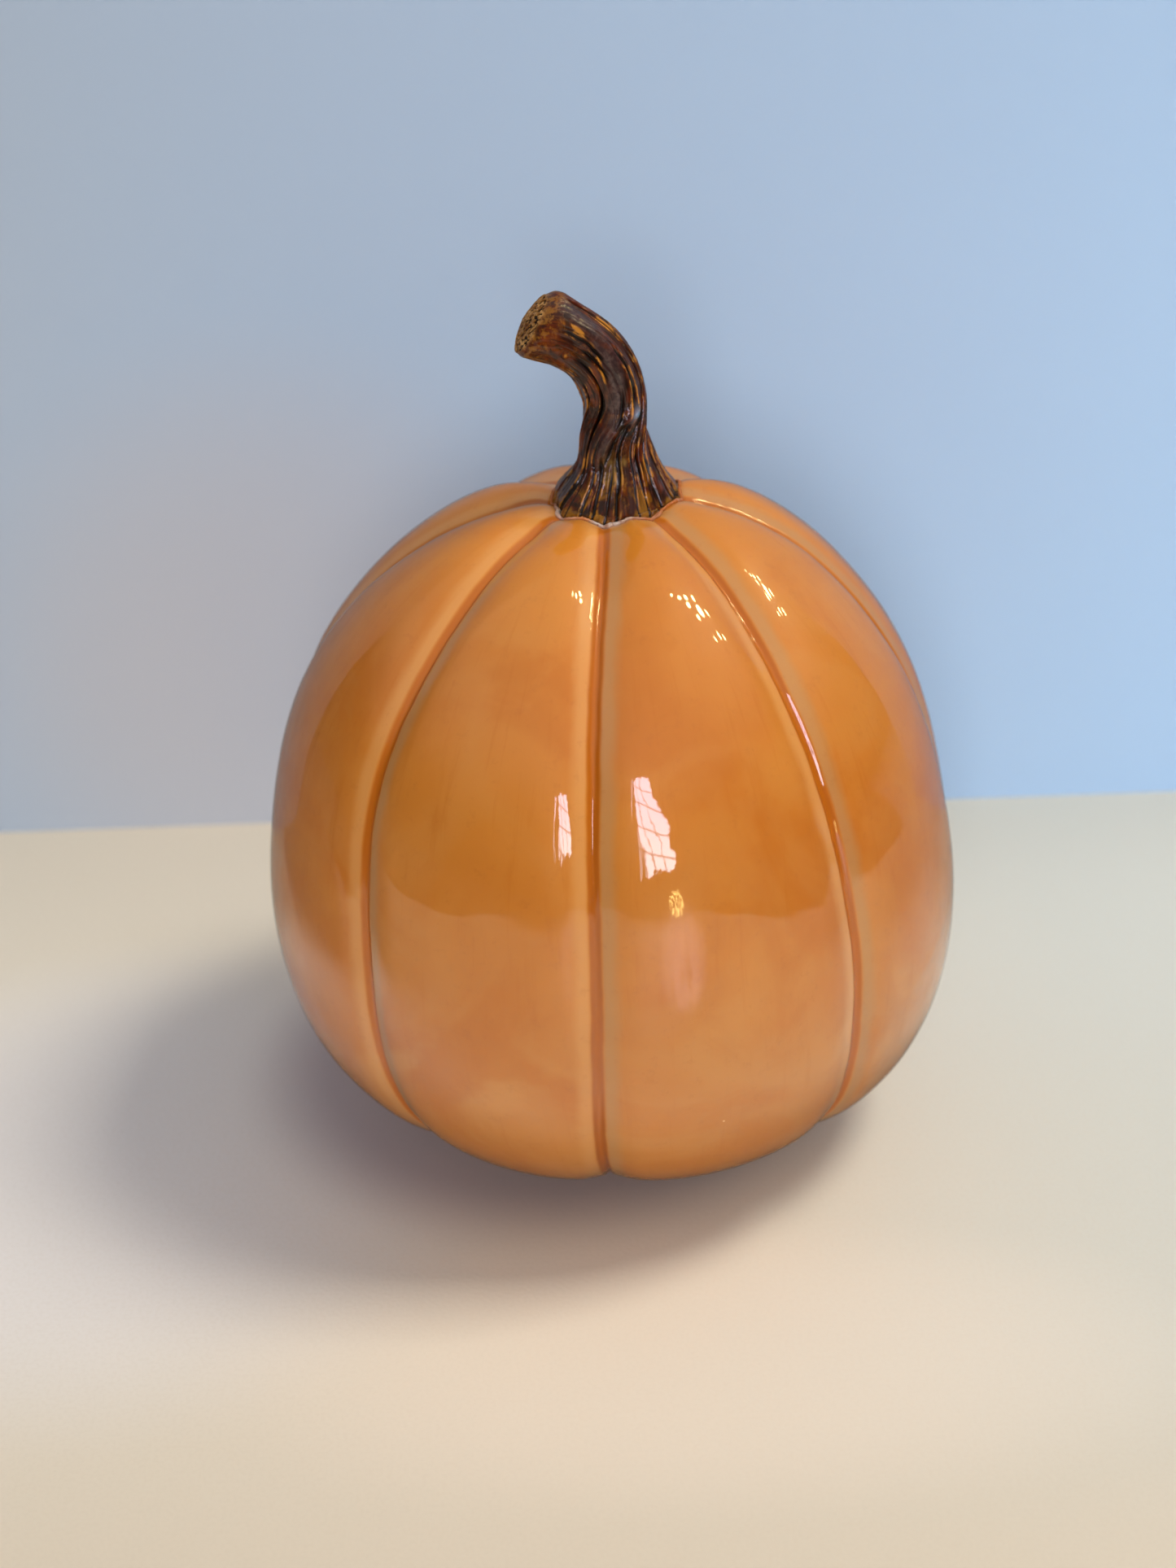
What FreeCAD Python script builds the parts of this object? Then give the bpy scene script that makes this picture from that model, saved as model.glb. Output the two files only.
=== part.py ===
import FreeCAD, Part
import math
import os

# Ceramic pumpkin figure, slip cast in two pieces and luted together.
#   pumpkin_shell  hollow clay body, eight lobes, pour opening on top,
#                  dry foot with a shallow recess and a vent hole below
#   orange_glaze   fired glaze coat over the body, stops above the foot
#                  and around the stem joint
#   stem           solid clay stem with a locating plug on its underside
#   brown_glaze    fired glaze coat over the stem
#   luting_slip    pale ring of slip that joins the stem to the body
# Frame: +Z up, foot on z = 0, origin below the middle of the body.
# The stem leans toward -X.  Millimetres.

doc = FreeCAD.newDocument("ceramic_pumpkin")
sheet = doc.addObject("Spreadsheet::Sheet", "dims")

# alias, value, meaning
DIMENSIONS = [
    ("body_radius", 90.0, "largest radius at a lobe crest"),
    ("centre_height", 87.75, "height of the polar centre above the foot"),
    ("axis_x", 0.733, "body axis from the origin, X"),
    ("axis_y", -0.049, "body axis from the origin, Y"),
    ("wall_thk", 5.0, "clay wall"),
    ("coat_body", 0.5, "orange glaze thickness"),
    ("coat_stem", 0.4, "brown glaze thickness"),
    ("crown_low", 0.9, "lobe crown at the belly"),
    ("crown_top", 1.7, "lobe crown near the stem"),
    ("lip_drop", 0.75, "rounding of the lips of a groove at the foot"),
    ("lip_belly", 0.70, "further rounding over the belly"),
    ("lip_shoulder", 0.45, "further rounding over the shoulder"),
    ("lip_width", 5.6, "half width of that rounding"),
    ("channel_depth", 0.90, "incised channel"),
    ("channel_width", 2.0, "half width of the channel"),
    ("floor_height", 8.0, "cavity floor above the table"),
    ("foot_shift", 0.0235, "recess and vent from the body axis toward +X, over body_radius"),
    ("recess_depth", 3.0, "recess inside the foot ring"),
    ("recess_low", 27.0, "recess radius at the table"),
    ("recess_top", 25.5, "recess radius at its roof"),
    ("vent_radius", 3.5, "vent hole in the base"),
    ("pour_radius", 8.0, "pour opening under the stem"),
    ("plug_radius", 7.3, "locating plug of the stem"),
    ("plug_length", 10.0, "plug length, partly inside the stem"),
    ("plug_bottom", 165.5, "height of the plug's lower end"),
    ("stem_x", 3.9, "stem axis from the body axis"),
    ("dry_foot", 0.8, "bare clay band above the table"),
    ("slip_width", 0.9, "slip ring outside the stem glaze"),
    ("slip_rise", 1.2, "slip ring above the clay"),
]
for line, (alias, value, meaning) in enumerate(DIMENSIONS, start=1):
    sheet.set("A%d" % line, meaning)
    sheet.set("B%d" % line, repr(value))
    sheet.setAlias("B%d" % line, alias)
doc.recompute()


def dim(name):
    return float(getattr(sheet, name))


BODY_RADIUS = dim("body_radius")
CENTRE_Z = dim("centre_height")


# ------------------------------------------------------------ curves and blends
def spline(xs, ys, level_end=False):
    """Cubic spline through the points, as a function of x.  The start is
    natural, the end is natural or level."""
    count = len(xs)
    # tridiagonal system for the second derivatives
    lower = [0.0] * count
    diagonal = [1.0] * count
    upper = [0.0] * count
    right = [0.0] * count
    for i in range(1, count - 1):
        before = xs[i] - xs[i - 1]
        after = xs[i + 1] - xs[i]
        lower[i] = before
        diagonal[i] = 2.0 * (before + after)
        upper[i] = after
        right[i] = 6.0 * ((ys[i + 1] - ys[i]) / after - (ys[i] - ys[i - 1]) / before)
    if level_end:
        last = xs[-1] - xs[-2]
        lower[-1] = last
        diagonal[-1] = 2.0 * last
        right[-1] = 6.0 * (0.0 - (ys[-1] - ys[-2]) / last)
    for i in range(1, count):
        factor = lower[i] / diagonal[i - 1]
        diagonal[i] -= factor * upper[i - 1]
        right[i] -= factor * right[i - 1]
    second = [0.0] * count
    second[-1] = right[-1] / diagonal[-1]
    for i in range(count - 2, -1, -1):
        second[i] = (right[i] - upper[i] * second[i + 1]) / diagonal[i]

    def value_at(x):
        i = 0
        while i < count - 2 and x > xs[i + 1]:
            i += 1
        span = xs[i + 1] - xs[i]
        p = (xs[i + 1] - x) / span
        q = (x - xs[i]) / span
        bend = (p ** 3 - p) * second[i] + (q ** 3 - q) * second[i + 1]
        return p * ys[i] + q * ys[i + 1] + bend * span * span / 6.0

    return value_at


def smooth(x, low, high):
    """Rises from 0 at low to 1 at high, level at both ends."""
    t = min(max((x - low) / (high - low), 0.0), 1.0)
    return t * t * (3.0 - 2.0 * t)


def bump(distance, half_width):
    """1 at distance 0, falling off as a bell."""
    return math.exp(-(distance / half_width) ** 2)


# --------------------------------------------------------- solid from a grid
def greville(count):
    """Parameter, 0 to 1, of each pole of a clamped uniform cubic."""
    last = count - 3
    return [sum(min(max(i + j - 3, 0), last) for j in (1, 2, 3)) / 3.0 / last
            for i in range(count)]


def sharpened(before, point, after):
    """Pole that brings a uniform cubic close to the point."""
    return point - (before + after - point * 2.0) * (1.0 / 6.0)


def closed_form(grid, slices):
    """Solid from a grid of points: rows from end to end, columns all round.
    The first and last rows are flat and get a flat cap."""
    rows = len(grid)
    cols = len(grid[0])
    across = [list(row) for row in grid]
    for i in range(1, rows - 1):
        across[i] = [sharpened(grid[i][j - 1], grid[i][j], grid[i][(j + 1) % cols])
                     for j in range(cols)]
    poles = [list(row) for row in across]
    for i in range(3, rows - 3):
        poles[i] = [sharpened(across[i - 1][j], across[i][j], across[i + 1][j])
                    for j in range(cols)]

    surface = Part.BSplineSurface()
    end = float(rows - 3)
    surface.buildFromPolesMultsKnots(
        poles,
        [4] + [1] * (rows - 4) + [4],
        [1] * (cols + 1),
        [float(knot) for knot in range(rows - 2)],
        [float(knot) for knot in range(cols + 1)],
        False, True, 3, 3)

    # one face per slice, so that no face has too many spans
    faces = []
    first_edges = []
    last_edges = []
    step = cols // slices
    for k in range(slices):
        part = surface.copy()
        part.segment(0.0, end, float(k * step), float((k + 1) * step))
        faces.append(part.toShape().Faces[0])
        first_edges.append(part.uIso(0.0).toShape())
        last_edges.append(part.uIso(end).toShape())
    for edges in (first_edges, last_edges):
        faces.append(Part.Face(Part.Wire(Part.__sortEdges__(edges))))
    shell = Part.makeShell(faces)
    shell.sewShape()
    solid = Part.makeSolid(shell)
    # the sewn faces may point inward
    if solid.Volume < 0:
        solid.reverse()
    return solid


def form(name, shape):
    feature = doc.addObject("Part::Feature", name)
    feature.Shape = shape
    return feature


# ---------------------------------------------------------------- body form
# Polar outline about the centre point: elevation in degrees, radius / body_radius.
OUTLINE = [
    (-75.0, 1.0321), (-55.0, 1.0960), (-35.0, 1.1073), (-15.0, 1.0352),
    (5.0, 0.9681), (25.0, 0.9604), (42.0, 0.9639), (56.0, 0.9743),
    (68.0, 0.9813), (79.0, 0.9591), (90.0, 0.9122),
]

# Azimuth of the eight grooves (degrees, 0 = -Y, 90 = +X) at these elevations.
GROOVE_ELEVATIONS = [-75.0, -45.0, -25.0, -5.0, 15.0, 35.0, 55.0, 75.0, 90.0]
GROOVE_AZIMUTHS = [
    [-139.9, -140.2, -140.9, -141.3, -141.0, -140.4, -140.2, -140.7, -141.0],
    [-92.0, -92.2, -92.5, -93.5, -95.0, -95.8, -94.0, -90.0, -89.5],
    [-43.3, -42.9, -42.2, -42.7, -44.6, -44.8, -44.6, -46.6, -47.0],
    [-5.6, -4.9, -3.9, -2.9, -2.75, -2.8, -2.3, -1.2, -1.0],
    [43.0, 42.3, 41.1, 41.5, 40.5, 39.3, 39.5, 41.6, 42.0],
    [87.0, 87.0, 86.5, 86.0, 85.0, 84.6, 87.6, 88.3, 88.0],
    [134.2, 133.9, 133.2, 132.8, 133.0, 133.6, 134.0, 133.4, 133.0],
    [176.9, 176.0, 175.6, 176.2, 177.0, 176.6, 175.9, 176.4, 176.8],
]
LOBES = len(GROOVE_AZIMUTHS)

# elevations of the blends, degrees
BODY_LOW, BODY_HIGH = -75.0, 88.0
CROWN_RISE = (45.0, 72.0)
LIP_BELLY_RISE = (-62.0, -42.0)
LIP_SHOULDER_RISE = (30.0, 55.0)
LIP_SHOULDER_FALL = (66.0, 80.0)
LOBE_RISE = (BODY_LOW, -71.0)
LOBE_FALL = (82.0, 87.0)

OVAL = 0.0048         # body wider along X than along Y, share of the radius
LEAN = -0.0100        # X shift of a section per height above the centre
BOW = 0.0320          # X shift with the square of height / body_radius
BOW_OFFSET = 0.4      # squared height ratio where the bow is nil
LEAST_RADIUS = 4.0    # least radius used for the distance to a groove

BODY_ROWS = 30
POINTS_PER_LOBE = 14
CROWDING = 0.80       # crowds the columns toward the grooves

outline_ratio = spline(*zip(*OUTLINE), level_end=True)
groove_lines = [spline(GROOVE_ELEVATIONS, row) for row in GROOVE_AZIMUTHS]


def body_point(groove, next_groove, share, elevation, lift, inner):
    """Point of the body form, share 0 to 1 of the way between two grooves.
    lift moves it outward; an inner form has no incised channels."""
    azimuth = math.radians(groove + (next_groove - groove) * share)
    angle = math.radians(elevation)
    radius = BODY_RADIUS * outline_ratio(elevation)
    arc = (math.radians(next_groove - groove)
           * max(radius * math.cos(angle), LEAST_RADIUS))
    distance = min(share, 1.0 - share) * arc

    crown = (dim("crown_low")
             + (dim("crown_top") - dim("crown_low")) * smooth(elevation, *CROWN_RISE))
    lip = (dim("lip_drop")
           + dim("lip_belly") * smooth(elevation, *LIP_BELLY_RISE)
           + dim("lip_shoulder") * smooth(elevation, *LIP_SHOULDER_RISE)
           * (1.0 - smooth(elevation, *LIP_SHOULDER_FALL)))
    drop = crown * (1.0 - math.sin(math.pi * share))
    drop += lip * bump(distance, dim("lip_width"))
    if not inner:
        drop += dim("channel_depth") * bump(distance, dim("channel_width"))

    # the lobes die out below the foot plane and under the stem,
    # which also keeps the two end rings level
    fade = smooth(elevation, *LOBE_RISE) * (1.0 - smooth(elevation, *LOBE_FALL))
    radius = radius * (1.0 - OVAL * math.cos(2.0 * azimuth) * fade) - drop * fade + lift
    across = radius * math.cos(angle)
    z = radius * math.sin(angle)
    height = z / BODY_RADIUS
    shift = BODY_RADIUS * (LEAN * height + BOW * (height * height - BOW_OFFSET))
    return FreeCAD.Vector(across * math.sin(azimuth) + shift,
                          -across * math.cos(azimuth), CENTRE_Z + z)


def body_form(lift, inner=False):
    turn = 2.0 * math.pi
    shares = [k / float(POINTS_PER_LOBE) for k in range(POINTS_PER_LOBE)]
    shares = [share - CROWDING * math.sin(turn * share) / turn for share in shares]
    grid = []
    for t in greville(BODY_ROWS):
        elevation = BODY_LOW + (BODY_HIGH - BODY_LOW) * t
        grooves = [line_at(elevation) for line_at in groove_lines]
        grooves.append(grooves[0] + 360.0)
        grid.append([
            body_point(grooves[lobe], grooves[lobe + 1], share, elevation, lift, inner)
            for lobe in range(LOBES) for share in shares])
    return closed_form(grid, LOBES)


clay_lift = -dim("coat_body")
clay_form = form("body_clay_form", body_form(clay_lift))
coat_form = form("body_coat_form", body_form(0.0))
slip_level = form("body_slip_level", body_form(dim("slip_rise") + clay_lift))
cavity_form = form("cavity_form", body_form(clay_lift - dim("wall_thk"), inner=True))

# ---------------------------------------------------------------- stem form
# Centre line: x from the stem axis, y, z above the polar centre, then the
# section radius, all / body_radius.
STEM = [
    (-0.008, 0.010, 0.850, 0.2070),
    (-0.007, 0.009, 0.920, 0.1800),
    (-0.003, 0.004, 0.985, 0.1375),
    (-0.002, 0.001, 1.050, 0.1035),
    (-0.006, 0.000, 1.115, 0.0890),
    (-0.003, 0.000, 1.180, 0.0830),
    (-0.009, 0.000, 1.240, 0.0845),
    (-0.028, -0.001, 1.295, 0.0850),
    (-0.062, -0.003, 1.343, 0.0855),
    (-0.108, -0.006, 1.380, 0.0870),
    (-0.160, -0.009, 1.405, 0.0890),
    (-0.212, -0.012, 1.422, 0.0885),
]
TIP_NORMAL = FreeCAD.Vector(-0.822, -0.121, 0.556)
TIP_NORMAL.normalize()

# blends along the stem, 0 at the root and 1 at the tip
TWIST_RISE = (0.28, 0.56)
ROOT_FALL = (0.05, 0.42)
TIP_SWELL_RISE = (0.82, 0.96)
FLUTE_FALL = (0.93, 1.0)
TIP_TURN = (0.80, 1.0)
RIM_ROUNDING = (0.965, 1.0)
LEVEL_ROOT = 0.12       # sections below this are level
TANGENT_STEP = 0.01

TWIST = math.radians(42.0)
# sizes below are shares of the section radius, angles in radians
FLARE, FLARES, FLARE_START = 0.055, 6.0, 0.10
ROOT_BULGE, ROOT_BULGE_AT, ROOT_BULGE_WIDTH = 0.11, math.radians(118.0), 0.42
TIP_SWELL, TIP_SWELL_AT, TIP_SWELL_WIDTH = 0.15, math.radians(90.0), 0.85
RIM_DROP = 0.13
FLUTES, FLUTE_PHASE = 12, 0.6
FLUTE_DEPTH = 0.42      # mm either side of the section radius
FLUTE_AT_TIP = 0.35     # share of the flute depth left at the tip

STEM_ROWS = 26
STEM_COLUMNS = 96
STEM_SLICES = 4

stations = [float(i) for i in range(len(STEM))]
stem_lines = [spline(stations, column) for column in zip(*STEM)]


def stem_axis(t):
    """Point and section radius on the centre line, t from 0 to 1."""
    x, y, z, radius = [line_at(t * stations[-1]) for line_at in stem_lines]
    point = FreeCAD.Vector(BODY_RADIUS * x + dim("stem_x"), BODY_RADIUS * y,
                           CENTRE_Z + BODY_RADIUS * z)
    return point, BODY_RADIUS * radius


def stem_normal(t):
    """Normal of the section: up at the root, then along the centre line,
    turning square to the end face toward the tip."""
    if t < LEVEL_ROOT:
        return FreeCAD.Vector(0, 0, 1)
    before = stem_axis(t - TANGENT_STEP)[0]
    after = stem_axis(min(t + TANGENT_STEP, 1.0))[0]
    tangent = after - before
    tangent.normalize()
    turned = smooth(t, *TIP_TURN)
    normal = tangent * (1.0 - turned) + TIP_NORMAL * turned
    normal.normalize()
    return normal


def stem_radius(t, phi, base):
    """Radius round the section: phi is measured from -Y toward +X."""
    twisted = phi - TWIST * smooth(t, *TWIST_RISE)
    root = 1.0 - smooth(t, *ROOT_FALL)
    flare = FLARE * root * math.cos(FLARES * (twisted - FLARE_START))
    bulge = ROOT_BULGE * root * bump(phi - ROOT_BULGE_AT, ROOT_BULGE_WIDTH)
    # the tip is swollen on its upper side
    swell = (TIP_SWELL * smooth(t, *TIP_SWELL_RISE)
             * bump(phi - TIP_SWELL_AT, TIP_SWELL_WIDTH))
    fluting = FLUTE_AT_TIP + (1.0 - FLUTE_AT_TIP) * (1.0 - smooth(t, *FLUTE_FALL))
    flute = FLUTE_DEPTH * fluting * math.cos(FLUTES * twisted + FLUTE_PHASE)
    return base * (1.0 + flare + bulge + swell) + flute


def stem_form(lift):
    grid = []
    for t in greville(STEM_ROWS):
        point, base = stem_axis(t)
        normal = stem_normal(t)
        # side points to +X and front to -Y where the stem is upright
        side = normal.cross(FreeCAD.Vector(0, -1, 0))
        side.normalize()
        front = side.cross(normal)
        front.normalize()
        rim = 1.0 - RIM_DROP * smooth(t, *RIM_ROUNDING) ** 2
        # lift moves the end face as well
        if t > 0.999:
            point = point + normal * lift
        row = []
        for j in range(STEM_COLUMNS):
            phi = 2.0 * math.pi * j / STEM_COLUMNS
            if phi > math.pi:
                phi -= 2.0 * math.pi
            radius = stem_radius(t, phi, base) * rim + lift
            row.append(point + front * (radius * math.cos(phi))
                       + side * (radius * math.sin(phi)))
        grid.append(row)
    return closed_form(grid, STEM_SLICES)


stem_clay = form("stem_clay_form", stem_form(-dim("coat_stem")))
stem_coat = form("stem_coat_form", stem_form(0.0))
stem_slip = form("stem_slip_form", stem_form(dim("slip_width")))

# ------------------------------------------------- plain cutters and the plug
CUT_SIZE = 400.0      # side of the cutting boxes, wider than the body
CUT_DEPTH = 100.0
POUR_BOTTOM = 150.0   # the pour cutter starts inside the cavity
POUR_LENGTH = 40.0
FOOT_X = "dims.foot_shift * dims.body_radius"


def primitive(kind, name, corner, expressions):
    """Part primitive at a place (x, y, z), with its properties bound."""
    solid = doc.addObject("Part::" + kind, name)
    solid.Placement = FreeCAD.Placement(FreeCAD.Vector(*corner), FreeCAD.Rotation())
    for prop, expression in expressions.items():
        solid.setExpression(prop, expression)
    return solid


def box_below(name, top):
    """Wide box whose top is at the height given by an expression."""
    box = primitive("Box", name, (-CUT_SIZE / 2, -CUT_SIZE / 2, -CUT_DEPTH),
                    {"Placement.Base.z": "%s - %g" % (top, CUT_DEPTH)})
    box.Length = CUT_SIZE
    box.Width = CUT_SIZE
    box.Height = CUT_DEPTH
    return box


table_cut = box_below("table_cut", "0")
coat_foot_cut = box_below("coat_foot_cut", "dims.dry_foot")
floor_cut = box_below("floor_cut", "dims.floor_height")

# the taper of the recess runs on 1 mm below the table
recess = primitive("Cone", "foot_recess", (0, 0, -1), {
    "Radius1": "dims.recess_low + (dims.recess_low - dims.recess_top) / dims.recess_depth",
    "Radius2": "dims.recess_top",
    "Height": "dims.recess_depth + 1",
    "Placement.Base.x": FOOT_X,
})
# the vent cutter runs 2 mm past the table and the floor
vent = primitive("Cylinder", "vent_hole", (0, 0, -2), {
    "Radius": "dims.vent_radius",
    "Height": "dims.floor_height + 4",
    "Placement.Base.x": FOOT_X,
})
pour = primitive("Cylinder", "pour_hole", (0, 0, POUR_BOTTOM), {
    "Radius": "dims.pour_radius",
    "Placement.Base.x": "dims.stem_x",
})
pour.Height = POUR_LENGTH
plug = primitive("Cylinder", "stem_plug", (0, 0, 0), {
    "Radius": "dims.plug_radius",
    "Height": "dims.plug_length",
    "Placement.Base.x": "dims.stem_x",
    "Placement.Base.z": "dims.plug_bottom",
})
doc.recompute()


# ------------------------------------------------------------------- pieces
def boolean(kind, name, base, tool):
    result = doc.addObject("Part::" + kind, name)
    result.Base = base
    result.Tool = tool
    return result


def cut(name, base, tool):
    return boolean("Cut", name, base, tool)


def make_pumpkin_shell():
    clay = cut("clay_above_table", clay_form, table_cut)
    cavity = cut("cavity_above_floor", cavity_form, floor_cut)
    hollow = cut("hollow_body", clay, cavity)
    with_recess = cut("body_with_recess", hollow, recess)
    with_vent = cut("body_with_vent", with_recess, vent)
    return cut("pumpkin_shell", with_vent, pour)


def make_orange_glaze():
    skin = cut("coat_skin", coat_form, clay_form)
    above_foot = cut("coat_above_foot", skin, coat_foot_cut)
    return cut("orange_glaze", above_foot, stem_slip)


def make_stem():
    on_body = cut("stem_on_body", stem_clay, clay_form)
    return boolean("Fuse", "stem", on_body, plug)


def make_brown_glaze():
    skin = cut("brown_skin", stem_coat, stem_clay)
    return cut("brown_glaze", skin, clay_form)


def make_luting_slip():
    block = boolean("Common", "slip_block", stem_slip, slip_level)
    ring = cut("slip_open", block, stem_coat)
    return cut("luting_slip", ring, clay_form)


pieces = [make_pumpkin_shell(), make_orange_glaze(), make_stem(),
          make_brown_glaze(), make_luting_slip()]
doc.recompute()

for piece in pieces:
    piece.setExpression("Placement.Base.x", "dims.axis_x")
    piece.setExpression("Placement.Base.y", "dims.axis_y")
doc.recompute()

# ------------------------------------------------------------------- export
for obj in doc.Objects:
    bad = [state for state in obj.State if state in ("Invalid", "Error")]
    if bad:
        raise RuntimeError("%s is %s" % (obj.Name, bad))

for piece in pieces:
    if piece.Shape.isNull() or not piece.Shape.isValid():
        raise RuntimeError("%s has no valid shape" % piece.Name)
    if len(piece.Shape.Solids) != 1:
        raise RuntimeError("%s has %d solids" % (piece.Name, len(piece.Shape.Solids)))

os.makedirs("parts", exist_ok=True)
for piece in pieces:
    piece.Shape.exportStep("parts/%s.step" % piece.Label)
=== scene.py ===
import bmesh
import bpy
import itertools
import math
import numpy as np
from mathutils import Matrix, Vector


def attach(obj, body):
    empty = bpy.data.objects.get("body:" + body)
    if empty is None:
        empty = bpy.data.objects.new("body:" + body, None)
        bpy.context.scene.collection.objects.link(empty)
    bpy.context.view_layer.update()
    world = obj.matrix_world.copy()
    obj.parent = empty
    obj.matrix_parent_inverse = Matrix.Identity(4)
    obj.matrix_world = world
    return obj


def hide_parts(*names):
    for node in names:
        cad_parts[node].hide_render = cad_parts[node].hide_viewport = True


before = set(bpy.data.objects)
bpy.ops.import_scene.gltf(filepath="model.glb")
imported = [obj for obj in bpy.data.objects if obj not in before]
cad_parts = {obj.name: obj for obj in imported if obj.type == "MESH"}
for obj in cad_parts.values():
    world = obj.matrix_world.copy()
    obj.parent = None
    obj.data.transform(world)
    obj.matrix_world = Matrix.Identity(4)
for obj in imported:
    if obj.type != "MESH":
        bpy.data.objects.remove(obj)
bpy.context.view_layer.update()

MM = 0.001
BODY_RADIUS = 90.0
BODY_Z = 87.75                   # height of the body's polar centre
AXIS_X, AXIS_Y = 0.733, -0.049
STEM_X = 3.9                     # the stem stands to the right of the axis
BODY_CENTRE = np.array([AXIS_X, AXIS_Y, BODY_Z])

# body profile: elevation (degrees), radius / BODY_RADIUS
BODY_PROFILE = np.array([
    (-75.0, 1.0321), (-55.0, 1.0960), (-35.0, 1.1073), (-15.0, 1.0352),
    (5.0, 0.9681), (25.0, 0.9604), (42.0, 0.9639), (56.0, 0.9743),
    (68.0, 0.9813), (79.0, 0.9591), (90.0, 0.9122),
])
# each row of azimuths (degrees) is one groove, at these elevations
GROOVE_ELEV = np.array([-75.0, -45.0, -25.0, -5.0, 15.0, 35.0, 55.0, 75.0, 90.0])
GROOVE_AZIM = np.array([
    [-139.9, -140.2, -140.9, -141.3, -141.0, -140.4, -140.2, -140.7, -141.0],
    [-92.0, -92.2, -92.5, -93.5, -95.0, -95.8, -94.0, -90.0, -89.5],
    [-43.3, -42.9, -42.2, -42.7, -44.6, -44.8, -44.6, -46.6, -47.0],
    [-5.6, -4.9, -3.9, -2.9, -2.75, -2.8, -2.3, -1.2, -1.0],
    [43.0, 42.3, 41.1, 41.5, 40.5, 39.3, 39.5, 41.6, 42.0],
    [87.0, 87.0, 86.5, 86.0, 85.0, 84.6, 87.6, 88.3, 88.0],
    [134.2, 133.9, 133.2, 132.8, 133.0, 133.6, 134.0, 133.4, 133.0],
    [176.9, 176.0, 175.6, 176.2, 177.0, 176.6, 175.9, 176.4, 176.8],
])
LOBES = len(GROOVE_AZIM)
# how far each lobe bulges (mm)
LOBE_BULGE = np.array([0.10, -0.12, 0.06, -0.05, 0.12, -0.10, 0.04, -0.06])

# stem centre line: x, y, z above the polar centre, section radius, all in
# body radii, evenly spaced along the stem
STEM = np.array([
    (-0.008, 0.010, 0.850, 0.2070),
    (-0.007, 0.009, 0.920, 0.1800),
    (-0.003, 0.004, 0.985, 0.1375),
    (-0.002, 0.001, 1.050, 0.1035),
    (-0.006, 0.000, 1.115, 0.0890),
    (-0.003, 0.000, 1.180, 0.0830),
    (-0.009, 0.000, 1.240, 0.0845),
    (-0.028, -0.001, 1.295, 0.0850),
    (-0.062, -0.003, 1.343, 0.0855),
    (-0.108, -0.006, 1.380, 0.0870),
    (-0.160, -0.009, 1.405, 0.0890),
    (-0.219, -0.012, 1.421, 0.0890),
])
STEM_STEPS = len(STEM) - 1
STEM_LENGTH = 62.0               # turns the 0..1 stem parameter into mm
STEM_FOOT_AT = 0.09              # where on the stem the foot centre lies
CUT_NORMAL = np.array([-0.845, -0.121, 0.520])
CUT_NORMAL /= np.linalg.norm(CUT_NORMAL)


# ---------------------------------------------------------- curves and noise
def spline(xs, ys, level_end=False):
    """Natural cubic spline; level_end makes the slope zero at the last point."""
    count = len(xs)
    system = np.zeros((count, count))
    rhs = np.zeros(count)
    system[0, 0] = 1.0
    system[-1, -1] = 1.0
    for i in range(1, count - 1):
        before, after = xs[i] - xs[i - 1], xs[i + 1] - xs[i]
        system[i, i - 1:i + 2] = before, 2.0 * (before + after), after
        rhs[i] = 6.0 * ((ys[i + 1] - ys[i]) / after - (ys[i] - ys[i - 1]) / before)
    if level_end:
        step = xs[-1] - xs[-2]
        system[-1, -2:] = step, 2.0 * step
        rhs[-1] = -6.0 * (ys[-1] - ys[-2]) / step
    curve = np.linalg.solve(system, rhs)

    def evaluate(x):
        x = np.clip(np.asarray(x, float), xs[0], xs[-1])
        i = np.clip(np.searchsorted(xs, x, side="right") - 1, 0, count - 2)
        step = xs[i + 1] - xs[i]
        p = (xs[i + 1] - x) / step
        q = (x - xs[i]) / step
        bend = (p ** 3 - p) * curve[i] + (q ** 3 - q) * curve[i + 1]
        return p * ys[i] + q * ys[i + 1] + bend * step * step / 6.0
    return evaluate


def smooth(x, start, end):
    """Smooth step from 0 at start to 1 at end."""
    part = np.clip((np.asarray(x, float) - start) / (end - start), 0.0, 1.0)
    return part * part * (3.0 - 2.0 * part)


def bell(x, width, power=2):
    return np.exp(-np.abs(x / width) ** power)


def wrap(angle):
    return (angle + np.pi) % (2 * np.pi) - np.pi


def unit(vectors):
    return vectors / np.linalg.norm(vectors, axis=-1, keepdims=True)


def bisect(rising, low, high, steps=34):
    """Root of a rising function between the arrays low and high."""
    for _ in range(steps):
        mid = 0.5 * (low + high)
        above = rising(mid) > 0
        high = np.where(above, mid, high)
        low = np.where(above, low, mid)
    return 0.5 * (low + high)


noise_random = np.random.RandomState(71)
HASH = np.tile(noise_random.permutation(256), 2)
GRADIENT = noise_random.normal(size=(256, 3))
GRADIENT /= np.linalg.norm(GRADIENT, axis=1)[:, None]


def noise(points):
    """Perlin noise, about -0.7..0.7, of points (..., 3)."""
    cell = np.floor(points).astype(int)
    inside = points - cell
    ease = inside ** 3 * (inside * (inside * 6 - 15) + 10)
    total = 0.0
    for corner in itertools.product((0, 1), repeat=3):
        weight = 1.0
        for axis in range(3):
            part = ease[..., axis]
            weight = weight * (part if corner[axis] else 1 - part)
        index = HASH[(cell[..., 0] + corner[0]) & 255]
        index = HASH[(index + cell[..., 1] + corner[1]) & 255]
        index = HASH[(index + cell[..., 2] + corner[2]) & 255]
        total = total + weight * (GRADIENT[index] * (inside - np.array(corner))).sum(-1)
    return total


def circle_noise(angle, radius, scale, shift):
    """Noise around a circle, so that it closes on itself."""
    spot = np.stack([np.cos(angle) * radius, np.sin(angle) * radius, 0 * angle], -1)
    return noise(spot * scale + shift)


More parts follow.
